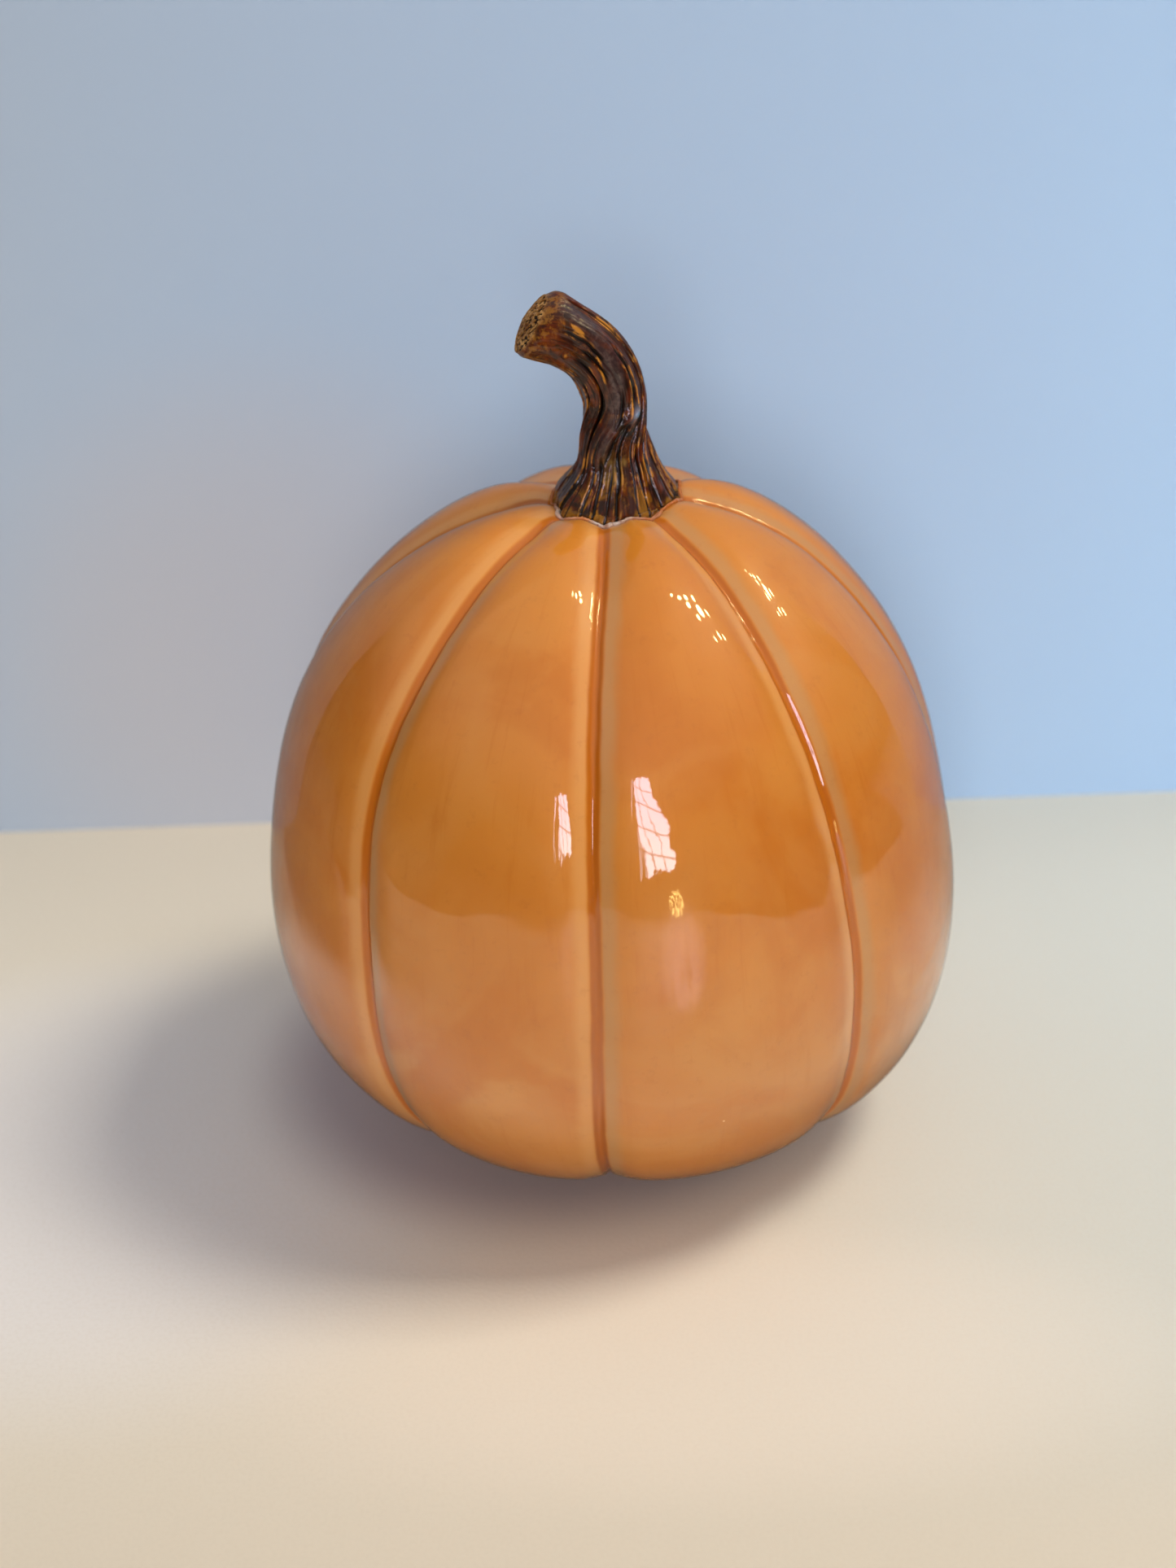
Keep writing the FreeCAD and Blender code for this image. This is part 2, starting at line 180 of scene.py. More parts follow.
# ----------------------------------------------------------------- the body
profile_at = spline(BODY_PROFILE[:, 0], BODY_PROFILE[:, 1], level_end=True)
groove_splines = [spline(GROOVE_ELEV, row) for row in GROOVE_AZIM]


def groove_azimuths(elev):
    return np.stack([groove(elev) for groove in groove_splines], -1)


def lobe_coords(elev, azim):
    """Fraction across the lobe, azimuths of its two grooves, lobe number."""
    lines = groove_azimuths(elev)
    lines = np.concatenate([lines[..., -1:] - 360.0, lines, lines[..., :1] + 360.0], -1)
    azim = (azim + 180.0) % 360.0 - 180.0
    lobe = np.clip((azim[..., None] >= lines).sum(-1) - 1, 0, LOBES)
    first = np.take_along_axis(lines, lobe[..., None], -1)[..., 0]
    second = np.take_along_axis(lines, lobe[..., None] + 1, -1)[..., 0]
    return (azim - first) / (second - first), first, second, lobe % LOBES


def lobe_shape(elev, azim):
    """Radius, signed arc distance to the nearest groove, swell across the
    lobe (0..1), drop toward the grooves, lobe number."""
    part, first, second, lobe = lobe_coords(elev, azim)
    radius = BODY_RADIUS * profile_at(elev)
    level = np.maximum(radius * np.cos(np.radians(elev)), 4.0)
    dist = np.minimum(part, 1 - part) * (np.radians(second - first) * level)
    signed = np.where(part < 0.5, dist, -dist)
    swell = np.sin(np.pi * np.clip(part, 0, 1))
    drop = (0.9 + 0.8 * smooth(elev, 45.0, 72.0)) * (1 - swell)
    return radius, signed, swell, drop, lobe


def lip_depth(elev, low, high):
    """How far the lips of a groove are pressed in, above the foot and below
    the top."""
    return (0.75 + low * smooth(elev, -62.0, -42.0)
            + high * smooth(elev, 30.0, 55.0) * (1 - smooth(elev, 66.0, 80.0)))


def place_body(elev, azim, radius, drop, lift=0.0):
    fade = smooth(elev, -75.0, -71.0) * (1 - smooth(elev, 82.0, 87.0))
    around, up = np.radians(azim), np.radians(elev)
    radius = radius * (1 - 0.0048 * np.cos(2 * around) * fade) - drop * fade + lift
    level = radius * np.cos(up)
    z = radius * np.sin(up)
    height = z / BODY_RADIUS
    # the axis bows sideways
    lean = BODY_RADIUS * (-0.0100 * height + 0.0320 * (height * height - 0.4))
    return np.stack([level * np.sin(around) + lean + AXIS_X,
                     -level * np.cos(around) + AXIS_Y, BODY_Z + z], -1)


def body_inside(elev, azim, lift):
    """The plain surface under the glaze."""
    radius, signed, _, drop, _ = lobe_shape(elev, azim)
    drop = drop + lip_depth(elev, 0.70, 0.45) * bell(signed, 5.6) + 0.90 * bell(signed, 2.0)
    return place_body(elev, azim, radius, drop, lift)


def mould_line(elev, azim):
    """A faint slanting ridge low on the right-hand front lobe."""
    right, up = azim - 61.0, elev + 14.5
    along = right * 0.92 + up * 0.39
    across = -right * 0.39 + up * 0.92
    return 0.13 * bell(across, 0.9) * bell(along, 9.0, power=4)


def body_skin(elev, azim):
    """The glazed surface, signed distance to the nearest groove, lobe."""
    radius, signed, swell, drop, lobe = lobe_shape(elev, azim)
    around, up = np.radians(azim), np.radians(elev)
    spot = np.stack([radius * np.cos(up) * np.sin(around),
                     -radius * np.cos(up) * np.cos(around), radius * np.sin(up)], -1)
    # the groove wanders and varies in width, and so do its lips
    signed = signed + (0.30 * noise(spot / 9.0 + 31.7) + 0.14 * noise(spot / 3.5 + 5.1))
    width = 1.20 * (1.0 + 0.20 * noise(spot / 14.0 + 8.3) + 0.10 * noise(spot / 4.0 + 2.2))
    lip_width = 5.7 * (1.0 + 0.16 * noise(spot / 18.0 + 12.9))
    drop = drop + lip_depth(elev, 0.72, 0.48) * bell(signed, lip_width)
    # flat-bottomed channel, shallower at the top
    drop = drop + 0.72 * bell(signed, width, 2.6) * (1 - 0.45 * smooth(elev, 68.0, 78.0))
    # waves of falling size; the small ones are calmer beside a groove
    calm = 1 - bell(signed, 3.0)
    ripple = (0.055 * noise(spot / 9.5 + 61.0) + 0.030 * noise(spot / 5.5 + 44.4)
              + 0.008 * noise(spot / 2.4 + 9.9))
    wave = (0.34 * noise(spot / 46.0 + 3.3) + 0.13 * noise(spot / 17.0 + 19.2)
            + ripple * (0.35 + 0.65 * calm))
    wave = wave + mould_line(elev, azim) + LOBE_BULGE[lobe] * swell ** 2
    drop = drop * (1 - 0.46 * smooth(elev, 72.0, 79.0)) - wave
    return place_body(elev, azim, radius, drop), signed, lobe


def body_height(x, y):
    """Height of the body's surface over a point near the top."""
    centre_x, centre_y = AXIS_X + 0.37, AXIS_Y
    reach = np.hypot(x - centre_x, y - centre_y)
    aim = np.arctan2(x - centre_x, -(y - centre_y))
    elev = np.degrees(np.arccos(np.clip(reach / (BODY_RADIUS * 0.94), 0, 0.95)))
    azim = aim.copy()
    for _ in range(6):
        spot = body_skin(elev, np.degrees(azim))[0]
        dx, dy = spot[..., 0] - centre_x, spot[..., 1] - centre_y
        azim = azim + 0.9 * wrap(aim - np.arctan2(dx, -dy))
        slope = BODY_RADIUS * 0.95 * np.sin(np.radians(elev))
        elev = elev + 0.9 * np.degrees((np.hypot(dx, dy) - reach) / slope)
        elev = np.clip(elev, 40.0, 89.5)
    return spot[..., 2]


# ----------------------------------------------------------------- the stem
# "along" runs from 0 at the bottom of the stem to 1 at its cut end
stem_splines = [spline(np.arange(STEM_STEPS + 1.0), column) for column in STEM.T]

# flutes, in sets: count, jitter and start angle (radians), then ranges of
# depth (mm), half width (mm), where they begin (None: the foot) and end
FLUTE_SETS = (
    (15, 0.14, 0.13, (0.55, 1.15), (0.25, 0.40), None, (0.78, 0.96)),
    (9, 0.24, 0.13 + np.pi / 13, (0.35, 0.70), (0.20, 0.34), None, (0.26, 0.62)),
    (7, 0.26, 0.42, (0.22, 0.45), (0.22, 0.34), (0.42, 0.55), (0.78, 0.95)),
    (15, 0.18, 0.02, (0.16, 0.42), (0.14, 0.24), None, (0.14, 0.34)),
)
# the smooth rib and the fold: stations along the stem, angles in degrees
RIB_CENTRE = ([0.28, 0.36, 0.50, 0.65, 0.82, 0.95], [-26.0, -17.0, 0.0, 22.0, 52.0, 62.0])
RIB_WIDTH = ([0.28, 0.40, 0.60, 0.80, 0.95], [9.0, 13.0, 15.0, 17.0, 20.0])
FOLD = ([0.22, 0.30, 0.36, 0.43, 0.46, 0.48], [-34.0, -22.0, -8.0, 14.0, 36.0, 42.0])
# single features: stem angle (degrees), place along the stem
KNUCKLE = (37.0, 0.468)
KNOT = (-19.0, 0.835)
OLIVE_PATCH = (-9.0, 0.275)


def draw_flutes():
    """List of (angle, depth, half width, begin, end)."""
    random = np.random.RandomState(12)
    flutes = []
    for count, jitter, start, depths, halves, begins, ends in FLUTE_SETS:
        angles = np.linspace(0, 2 * np.pi, count, endpoint=False) + start
        for angle in angles + random.uniform(-jitter, jitter, count):
            depth = random.uniform(*depths)
            half = random.uniform(*halves)
            begin = random.uniform(*begins) if begins else 0.0
            flutes.append((angle, depth, half, begin, random.uniform(*ends)))
    return flutes


FLUTES = draw_flutes()


def stem_centre(along):
    x, y, z = (BODY_RADIUS * curve(along * STEM_STEPS) for curve in stem_splines[:3])
    return np.stack([x + STEM_X + AXIS_X, y + AXIS_Y, BODY_Z + z], -1)


def stem_frame(along):
    """Directions along the stem, to its front and to its right."""
    ahead = stem_centre(np.minimum(along + 0.01, 1))
    tangent = unit(ahead - stem_centre(np.maximum(along - 0.01, 0)))
    turn = smooth(along, 0.80, 1.0)[..., None]
    tangent = unit(tangent * (1 - turn) + CUT_NORMAL * turn)
    tangent = np.where((along < 0.12)[..., None], np.array([0.0, 0.0, 1.0]), tangent)
    front = np.zeros_like(tangent)
    front[..., 1] = -1.0
    side = unit(np.cross(tangent, front))
    return tangent, unit(np.cross(side, tangent)), side


def twist(along):
    return math.radians(42.0) * smooth(along, 0.28, 0.56)


def section_radius(along):
    return BODY_RADIUS * stem_splines[3](along * STEM_STEPS)


def stem_radius(along, angle):
    """Six soft lobes and a bulge at the foot, and a bulge at the cut end."""
    foot = 1 - smooth(along, 0.05, 0.42)
    foot_bulge = bell(wrap(angle - math.radians(118.0)), 0.50)
    end_bulge = bell(wrap(angle - math.radians(90.0)), 0.85)
    return section_radius(along) * (
        1 + 0.055 * foot * np.cos(6 * (angle - twist(along) - 0.10))
        + 0.11 * foot * foot_bulge + 0.16 * smooth(along, 0.82, 0.96) * end_bulge)


def place_stem(along, angle, radius, lift=0.0):
    _, front, side = stem_frame(along)
    radius = radius * (1 - 0.12 * smooth(along, 0.955, 1.0) ** 2) + lift   # rounded rim
    return (stem_centre(along) + front * (radius * np.cos(angle))[..., None]
            + side * (radius * np.sin(angle))[..., None])


def stem_inside(along, angle, lift):
    return place_stem(along, angle, stem_radius(along, angle), lift)


def carve_flutes(along, angle, base):
    """Relief (mm), depth in a flute (0..1) and ridge beside it (0..1)."""
    relief = deep = crest = np.zeros(angle.shape)
    taper = 0.55 + 0.45 * (1 - smooth(along, 0.55, 0.95))
    for start, depth, half, begin, end in FLUTES:
        across = wrap(angle - start) * base
        if begin > 0:
            shown = (smooth(along, begin - 0.03, begin + 0.03)
                     * (1 - smooth(along, end - 0.05, end + 0.05)))
        else:
            shown = 1 - smooth(along, end - 0.06, end + 0.06)
        relief = relief - depth * shown * taper * bell(across, half, 1.8)
        deep = np.maximum(deep, shown * bell(across, half * 1.05) * min(1.0, 0.40 + depth))
        # rolled ridge beside the line, where the glaze breaks to amber
        roll = shown * bell(np.abs(across) - half * 2.0, half * 0.85)
        relief = relief + 0.22 * depth * roll
        crest = np.maximum(crest, roll * min(1.0, 0.3 + depth))
    return relief, deep, crest


def add_rib(along, angle, wobble, relief, deep, crest):
    """A broad smooth plum rib that follows the twist, its colour partly a painted sheen of the
    wall mirrored in it, and an amber one on the side of lower angles."""
    across = (wrap(angle - np.radians(np.interp(along, *RIB_CENTRE)) + 0.25 * wobble)
              / np.radians(np.interp(along, *RIB_WIDTH)))
    rib = bell(across, 1.0, 4) * smooth(along, 0.27, 0.36) * (1 - smooth(along, 0.90, 0.97))
    relief = relief * (1 - 0.85 * rib) + 0.25 * rib
    deep = deep * (1 - 0.9 * rib)
    amber = (bell(across + 1.30, 0.28) * smooth(along, 0.46, 0.56)
             * (1 - smooth(along, 0.88, 0.95)))
    crest = np.maximum(crest * (1 - 0.8 * rib), 1.15 * amber)
    return relief + 0.20 * amber, deep, crest, rib


def add_fold(along, angle, base, relief, deep):
    """Fold where one bundle of ribs slides under another, and the mask of the hollow under it,
    where shade is painted.
    """
    across = wrap(angle - np.radians(np.interp(along, *FOLD))) * base
    zone = smooth(along, 0.24, 0.33) * (1 - smooth(along, 0.46, 0.50))
    over = 0.85 * smooth(-across, -0.5, 1.1) * np.exp(-np.clip(-across, 0, None) / 5.0)
    relief = relief + zone * (over - 0.85 * bell(across - 0.9, 0.8))
    deep = np.maximum(deep, zone * 0.85 * bell(across - 0.6, 0.5))
    shade = zone * bell(across - 3.2, 3.2) * smooth(across, -0.3, 0.4)
    return relief, deep, shade


def from_feature(along, angle, base, feature):
    """Distances (mm) around and along the stem from a single feature."""
    return (wrap(angle - math.radians(feature[0])) * base,
            (along - feature[1]) * STEM_LENGTH)


def add_knuckle(along, angle, base, relief, deep):
    """Slanting oval bump at the top of the fold, a furrow under it, and the mask of its crown,
    where a bluish highlight is painted.
    """
    across, up = from_feature(along, angle, base, KNUCKLE)
    dist = np.sqrt(((across * 0.82 - up * 0.57) / 1.35) ** 2
                   + ((across * 0.57 + up * 0.82) / 2.6) ** 2)
    relief = relief * (1 - 0.8 * bell(dist, 1.2)) + 1.75 * bell(dist, 1.0)
    deep = deep * (1 - bell(dist, 1.25))
    deep = np.maximum(deep, 0.8 * bell(dist - 1.9, 0.35) * smooth(-up, -0.5, 1.0))
    return relief, deep, bell(dist, 0.55)


def add_knot(along, angle, base, relief, deep, crest):
    """Little round knot on the bend, ringed by a furrow."""
    dist = np.hypot(*from_feature(along, angle, base, KNOT))
    relief = relief + 0.50 * bell(dist, 0.72) - 0.24 * bell(dist - 1.25, 0.36)
    deep = np.maximum(deep * (1 - bell(dist, 0.95)), 0.50 * bell(dist - 1.25, 0.26))
    return relief, deep, np.maximum(crest, bell(dist, 0.7))


def stem_skin(along, angle):
    """Glazed stem surface (mm), depth in a flute (0..1), and six masks:
    crest, painted shade under the fold, painted highlight on the bump, rib (plum with a partly
    painted sheen), olive, and an empty one."""
    base = section_radius(along)
    turned = angle - twist(along)
    spot = np.stack([np.cos(turned) * 4.0, np.sin(turned) * 4.0,
                     along * STEM_LENGTH / 7.0], -1)
    wobble = 0.16 * noise(spot * 0.55 + 3.1) + 0.05 * noise(spot * 1.7 + 7.7)
    relief, deep, crest = carve_flutes(along, turned + wobble, base)
    relief, deep, crest, rib = add_rib(along, angle, wobble, relief, deep, crest)
    # relief fades toward the rim; broad ribs lie between the main flutes
    strength = 0.45 + 0.55 * (1 - smooth(along, 0.93, 1.0))
    relief = relief + 0.30 * np.cos(6.5 * (turned + wobble) + 0.4) * strength
    # torn, uneven surface: height, noise scale, shift
    for height, scale, shift in ((0.22, (1.3, 1.3, 0.8), 11.0), (0.12, (3.1, 3.1, 2.6), 23.0),
                                 (0.07, (5.0, 5.0, 6.0), 51.0)):
        relief = relief + height * noise(spot * np.array(scale) + shift)
    relief, deep, shade = add_fold(along, angle, base, relief, deep)
    # its last mask marks the crown, where a bluish highlight is painted
    relief, deep, knuckle_highlight = add_knuckle(along, angle, base, relief, deep)
    across, up = from_feature(along, angle, base, OLIVE_PATCH)
    olive = np.exp(-(across / 3.4) ** 2 - (up / 5.0) ** 2)
    relief, deep, crest = add_knot(along, angle, base, relief, deep, crest)
    radius = stem_radius(along, angle) + relief * strength
    crest = crest * (1 - deep) * (1 - 0.7 * shade)
    masks = np.stack([crest, shade, knuckle_highlight, rib, olive, 0 * rib], -1)
    return place_stem(along, angle, radius), deep, masks


# --------------------------------------------------- where stem meets body
STEM_COLUMNS = 300
stem_angles = np.linspace(0, 2 * np.pi, STEM_COLUMNS, endpoint=False)
stem_foot = stem_centre(np.array(STEM_FOOT_AT))


def around_foot(x, y):
    """Distance and angle of a point around the stem foot."""
    dx, dy = x - stem_foot[0], y - stem_foot[1]
    return np.hypot(dx, dy), np.arctan2(dx, -dy)


def foot_ring(angle, radius, z):
    return np.stack([stem_foot[0] + radius * np.sin(angle),
                     stem_foot[1] - radius * np.cos(angle), z], -1)


def gap_to_body(along):
    spot = stem_skin(along, stem_angles)[0]
    return spot[..., 2] - body_height(spot[..., 0], spot[..., 1]) + 0.10


# lower edge of the stem's glaze, one value per column
hem_along = bisect(gap_to_body, np.full(STEM_COLUMNS, 0.02),
                   np.full(STEM_COLUMNS, 0.30), steps=20)
hem_points = stem_skin(hem_along, stem_angles)[0]
hem_reach, hem_angle = around_foot(hem_points[:, 0], hem_points[:, 1])
hem_order = np.argsort(hem_angle)
hem_angle = hem_angle[hem_order]
hem_angle = np.concatenate([hem_angle - 2 * np.pi, hem_angle, hem_angle + 2 * np.pi])
hem_reach = np.tile(hem_reach[hem_order], 3)


def hem_radius(angle):
    """Largest reach of the hem close to an angle around the foot."""
    angle = wrap(angle)
    return np.max([np.interp(angle + shift, hem_angle, hem_reach)
                   for shift in (0.0, 0.03, -0.03, 0.06, -0.06)], axis=0)


# ------------------------------------------------------------- mesh helpers
def recalculate_normals(mesh):
    work = bmesh.new()
    work.from_mesh(mesh)
    bmesh.ops.recalc_face_normals(work, faces=work.faces)
    work.to_mesh(mesh)
    work.free()
    mesh.update()


def link_object(name, mesh):
    obj = bpy.data.objects.new(name, mesh)
    bpy.context.scene.collection.objects.link(obj)
    return obj


def make_object(name, verts, faces, attributes):
    """Smooth-shaded object from vertices in millimetres."""
    mesh = bpy.data.meshes.new(name)
    mesh.from_pydata((verts * MM).tolist(), [], faces)
    mesh.validate()
    for key, values in attributes.items():
        values = np.asarray(values, np.float32)
        if values.ndim == 1:
            layer = mesh.attributes.new(key, "FLOAT", "POINT")
            layer.data.foreach_set("value", values)
        else:
            layer = mesh.attributes.new(key, "FLOAT_VECTOR", "POINT")
            layer.data.foreach_set("vector", values.ravel())
    mesh.polygons.foreach_set("use_smooth", [True] * len(mesh.polygons))
    mesh.update()
    recalculate_normals(mesh)
    return link_object(name, mesh)


def ring_faces(first, second, count, flip=False):
    """Quads between two rings, given by their first vertices."""
    here = np.arange(count)
    after = (here + 1) % count
    quads = np.stack([first + here, first + after, second + after, second + here], -1)
    return (quads[:, ::-1] if flip else quads).tolist()


def tube_faces(start, rings, count, flip=False):
    faces = []
    for i in range(rings - 1):
        faces += ring_faces(start + i * count, start + (i + 1) * count, count, flip)
    return faces


def fan_faces(centre, ring, count, flip=False):
    here = np.arange(count)
    after = (here + 1) % count
    triangles = np.stack([np.full(count, centre), ring + here, ring + after], -1)
    return (triangles[:, ::-1] if flip else triangles).tolist()


# ------------------------------------------------------------ orange glaze
LOBE_COLUMNS = 58
GLAZE_COLUMNS = LOBE_COLUMNS * LOBES
GLAZE_ROWS = 170
GLAZE_INNER_ROWS = 22
GLAZE_LIFT = -0.48               # inner face against the body
GLAZE_ROUNDING = 0.36            # how far the glaze rims sink
COLUMN_CROWDING = 0.72           # draws columns toward the grooves
FOOT_LINE = 0.8                  # mean height of the lower glaze edge

column_part = np.arange(LOBE_COLUMNS) / LOBE_COLUMNS
column_part = column_part - COLUMN_CROWDING * np.sin(2 * np.pi * column_part) / (2 * np.pi)


def column_azimuths(elev):
    """Azimuths for elevations (..., GLAZE_COLUMNS), one per column."""
    first = groove_azimuths(elev)
    second = np.concatenate([first[..., 1:], first[..., :1] + 360.0], -1)
    lobe = np.broadcast_to(np.repeat(np.arange(LOBES), LOBE_COLUMNS), elev.shape)[..., None]
    first = np.take_along_axis(first, lobe, -1)[..., 0]
    second = np.take_along_axis(second, lobe, -1)[..., 0]
    return first + (second - first) * np.tile(column_part, LOBES)


def above_foot_line(elev):
    spot = body_skin(elev, column_azimuths(elev))[0]
    x, y, z = spot[..., 0], spot[..., 1], spot[..., 2]
    return z - (FOOT_LINE + 0.30 * noise(np.stack([x / 6, y / 6, 0 * x], -1) + 4.4))


def glaze_edge(angle):
    """Distance from the stem foot at which the orange glaze ends; the gap
    is wider at the front."""
    return (hem_radius(angle) + 0.24 + 0.20 * bell(wrap(angle + 0.2), 0.9)
            + 0.20 * circle_noise(angle, 3, 1.1, 2.0) + 0.14 * circle_noise(angle, 3, 3.3, 6.0))


def past_glaze_edge(elev):
    spot = body_skin(elev, column_azimuths(elev))[0]
    reach, angle = around_foot(spot[..., 0], spot[..., 1])
    return glaze_edge(angle) - reach


def make_orange_glaze():
    low = bisect(above_foot_line, np.full(GLAZE_COLUMNS, -74.0), np.full(GLAZE_COLUMNS, -45.0))
    high = bisect(past_glaze_edge, np.full(GLAZE_COLUMNS, 60.0), np.full(GLAZE_COLUMNS, 89.0))

    def elevations(rows):
        return low[None, :] + (high - low)[None, :] * np.linspace(0, 1, rows)[:, None]

    elev = elevations(GLAZE_ROWS)
    azim = column_azimuths(elev)
    outer, groove, lobe = body_skin(elev, azim)
    # rounded glaze rims: the outermost rows sink toward the clay
    part = np.linspace(0, 1, GLAZE_ROWS)
    sink = (GLAZE_ROUNDING * (1 - smooth(part * (GLAZE_ROWS - 1), 0, 2.2))
            + GLAZE_ROUNDING * (1 - smooth((1 - part) * (GLAZE_ROWS - 1), 0, 2.2)))
    outer = outer - unit(outer - BODY_CENTRE) * sink[:, None, None]
    inner_elev = elevations(GLAZE_INNER_ROWS)
    inner = body_inside(inner_elev, column_azimuths(inner_elev), GLAZE_LIFT)

    inner_start = GLAZE_ROWS * GLAZE_COLUMNS
    inner_count = GLAZE_INNER_ROWS * GLAZE_COLUMNS
    faces = tube_faces(0, GLAZE_ROWS, GLAZE_COLUMNS)
    faces += tube_faces(inner_start, GLAZE_INNER_ROWS, GLAZE_COLUMNS, flip=True)
    faces += ring_faces(0, inner_start, GLAZE_COLUMNS, flip=True)
    faces += ring_faces(inner_start - GLAZE_COLUMNS,
                        inner_start + inner_count - GLAZE_COLUMNS, GLAZE_COLUMNS)

    # streak: arc length around, arc length up, and a jump for each lobe
    steps = np.linalg.norm(np.diff(outer[:, 0], axis=0), axis=-1)
    meridian = np.concatenate([[0], np.cumsum(steps)])
    streak = np.stack([np.radians(azim) * BODY_RADIUS,
                       np.broadcast_to(meridian[:, None], elev.shape), lobe * 17.0], -1)
    blank = np.zeros(inner_count)
    return make_object(
        "orange_glaze_skin", np.concatenate([outer.reshape(-1, 3), inner.reshape(-1, 3)]),
        faces, {
            "groove": np.concatenate([groove.ravel(), blank]),
            "gdist": np.concatenate([np.abs(groove).ravel(), blank]),
            "elev": np.concatenate([elev.ravel(), inner_elev.ravel()]),
            "streak": np.concatenate([streak.reshape(-1, 3), np.zeros((inner_count, 3))]),
        })


# ------------------------------------------------------- brown glazed stem
STEM_ROWS = 210
CUT_STEPS = 44
STEM_INNER_ROWS = 34
STEM_GLAZE_LIFT = -1.55          # inner face of the coat
HEM_ROLL = 0.30                  # rolled lower edge of the coat


def make_cut_end(rim):
    """Rings and centre of a shallow dome of chipped scales, and how deep
    each ring vertex lies in a gap."""
    centre = rim.mean(0)
    tangent, front, side = stem_frame(np.array(1.0))
    rings, gaps = [], []
    for i in range(1, CUT_STEPS):
        shrink = 1 - i / CUT_STEPS
        points = centre + (rim - centre) * shrink
        x = (points - centre) @ side
        y = (points - centre) @ front

        def layer(u, v, depth):
            return noise(np.stack([u, v, np.full(len(rim), depth)], -1))

        warp = 0.5 * layer(x / 2.5, y / 2.5, 5.0)
        scales = layer((x + 0.5 * y) / 1.25 + warp, (y - 0.5 * x) / 0.62 + warp, 3.0)
        grit = layer(x / 0.5, y / 0.4, 8.0)
        gap = np.clip((scales + 0.07 + 0.25 * grit) * 4.2, 0, 1)
        rough = 0.22 * layer(x / 3.2 + 3, y / 3.2 + 3, 3.0) - 0.60 * gap + 0.16 * grit
        height = 1.60 * (1 - shrink ** 2.2) + smooth(i, 0, 3) * rough
        rings.append(points + tangent * height[:, None])
        gaps.append(gap)
    return rings, (centre + tangent * 1.45)[None, :], gaps


def make_stem_glaze():
    def rows_between(rows, end):
        part = np.linspace(0, 1, rows)[:, None]
        along = hem_along[None, :] + (end - hem_along)[None, :] * part
        return along, np.broadcast_to(stem_angles, along.shape)

    along, angle = rows_between(STEM_ROWS, 1.0)
    outer, deep, masks = stem_skin(along, angle)
    roll = HEM_ROLL * (1 - smooth(np.linspace(0, 1, STEM_ROWS) * (STEM_ROWS - 1), 0, 2.5))
    outer = outer - unit(outer - stem_centre(along)) * roll[:, None, None]
    rings, tip, gaps = make_cut_end(outer[-1])
    inner_along, inner_angle = rows_between(STEM_INNER_ROWS, 0.985)
    inner = stem_inside(inner_along, inner_angle, STEM_GLAZE_LIFT)
    verts = np.concatenate([outer.reshape(-1, 3)] + rings
                           + [tip, inner.reshape(-1, 3), inner[-1].mean(0)[None, :]])

    outer_rings = STEM_ROWS + CUT_STEPS - 1
    tip_index = outer_rings * STEM_COLUMNS
    inner_start = tip_index + 1
    inner_last = inner_start + (STEM_INNER_ROWS - 1) * STEM_COLUMNS
    faces = tube_faces(0, outer_rings, STEM_COLUMNS)
    faces += fan_faces(tip_index, tip_index - STEM_COLUMNS, STEM_COLUMNS)
    faces += tube_faces(inner_start, STEM_INNER_ROWS, STEM_COLUMNS, flip=True)
    faces += fan_faces(inner_last + STEM_COLUMNS, inner_last, STEM_COLUMNS, flip=True)
    faces += ring_faces(0, inner_start, STEM_COLUMNS, flip=True)

    cut_count = (CUT_STEPS - 1) * STEM_COLUMNS + 1
    inner_count = STEM_INNER_ROWS * STEM_COLUMNS + 1
    masks = np.concatenate([masks.reshape(-1, 6), np.zeros((cut_count + inner_count, 6))])
    turned = angle - twist(along)
    grain = np.stack([np.cos(turned) * 8.0, np.sin(turned) * 8.0, along * STEM_LENGTH], -1)
    return make_object("stem_brown_glaze", verts, faces, {
        "deep": np.concatenate([deep.ravel()] + gaps + [[0.3], np.zeros(inner_count)]),
        "crest": masks[:, :3],
        "patch": masks[:, 3:],
        "along": np.concatenate([along.ravel(), np.full(cut_count, 1.05),
                                 inner_along.ravel(), [1.0]]),
        "grain": np.concatenate([grain.reshape(-1, 3)] + rings
                                + [tip, np.zeros((inner_count, 3))]),
    })


# ------------------------------------- clay core of the stem, with its plug
CORE_COLUMNS = 96
CORE_ROWS = 70
CORE_LIFT = -1.75
CORE_END = 0.975
PLUG_BOTTOM = 165.6
PLUG_RADIUS = 7.3
# rings of the plug: radius, height, unevenness
PLUG_RINGS = (
    (5.9, PLUG_BOTTOM, 0.0),
    (6.8, PLUG_BOTTOM + 0.15, 0.0),
    (7.15, PLUG_BOTTOM + 0.7, 0.0),
    (7.25, PLUG_BOTTOM + 2.0, 0.10),
    (PLUG_RADIUS, 169.2, 0.10),
)


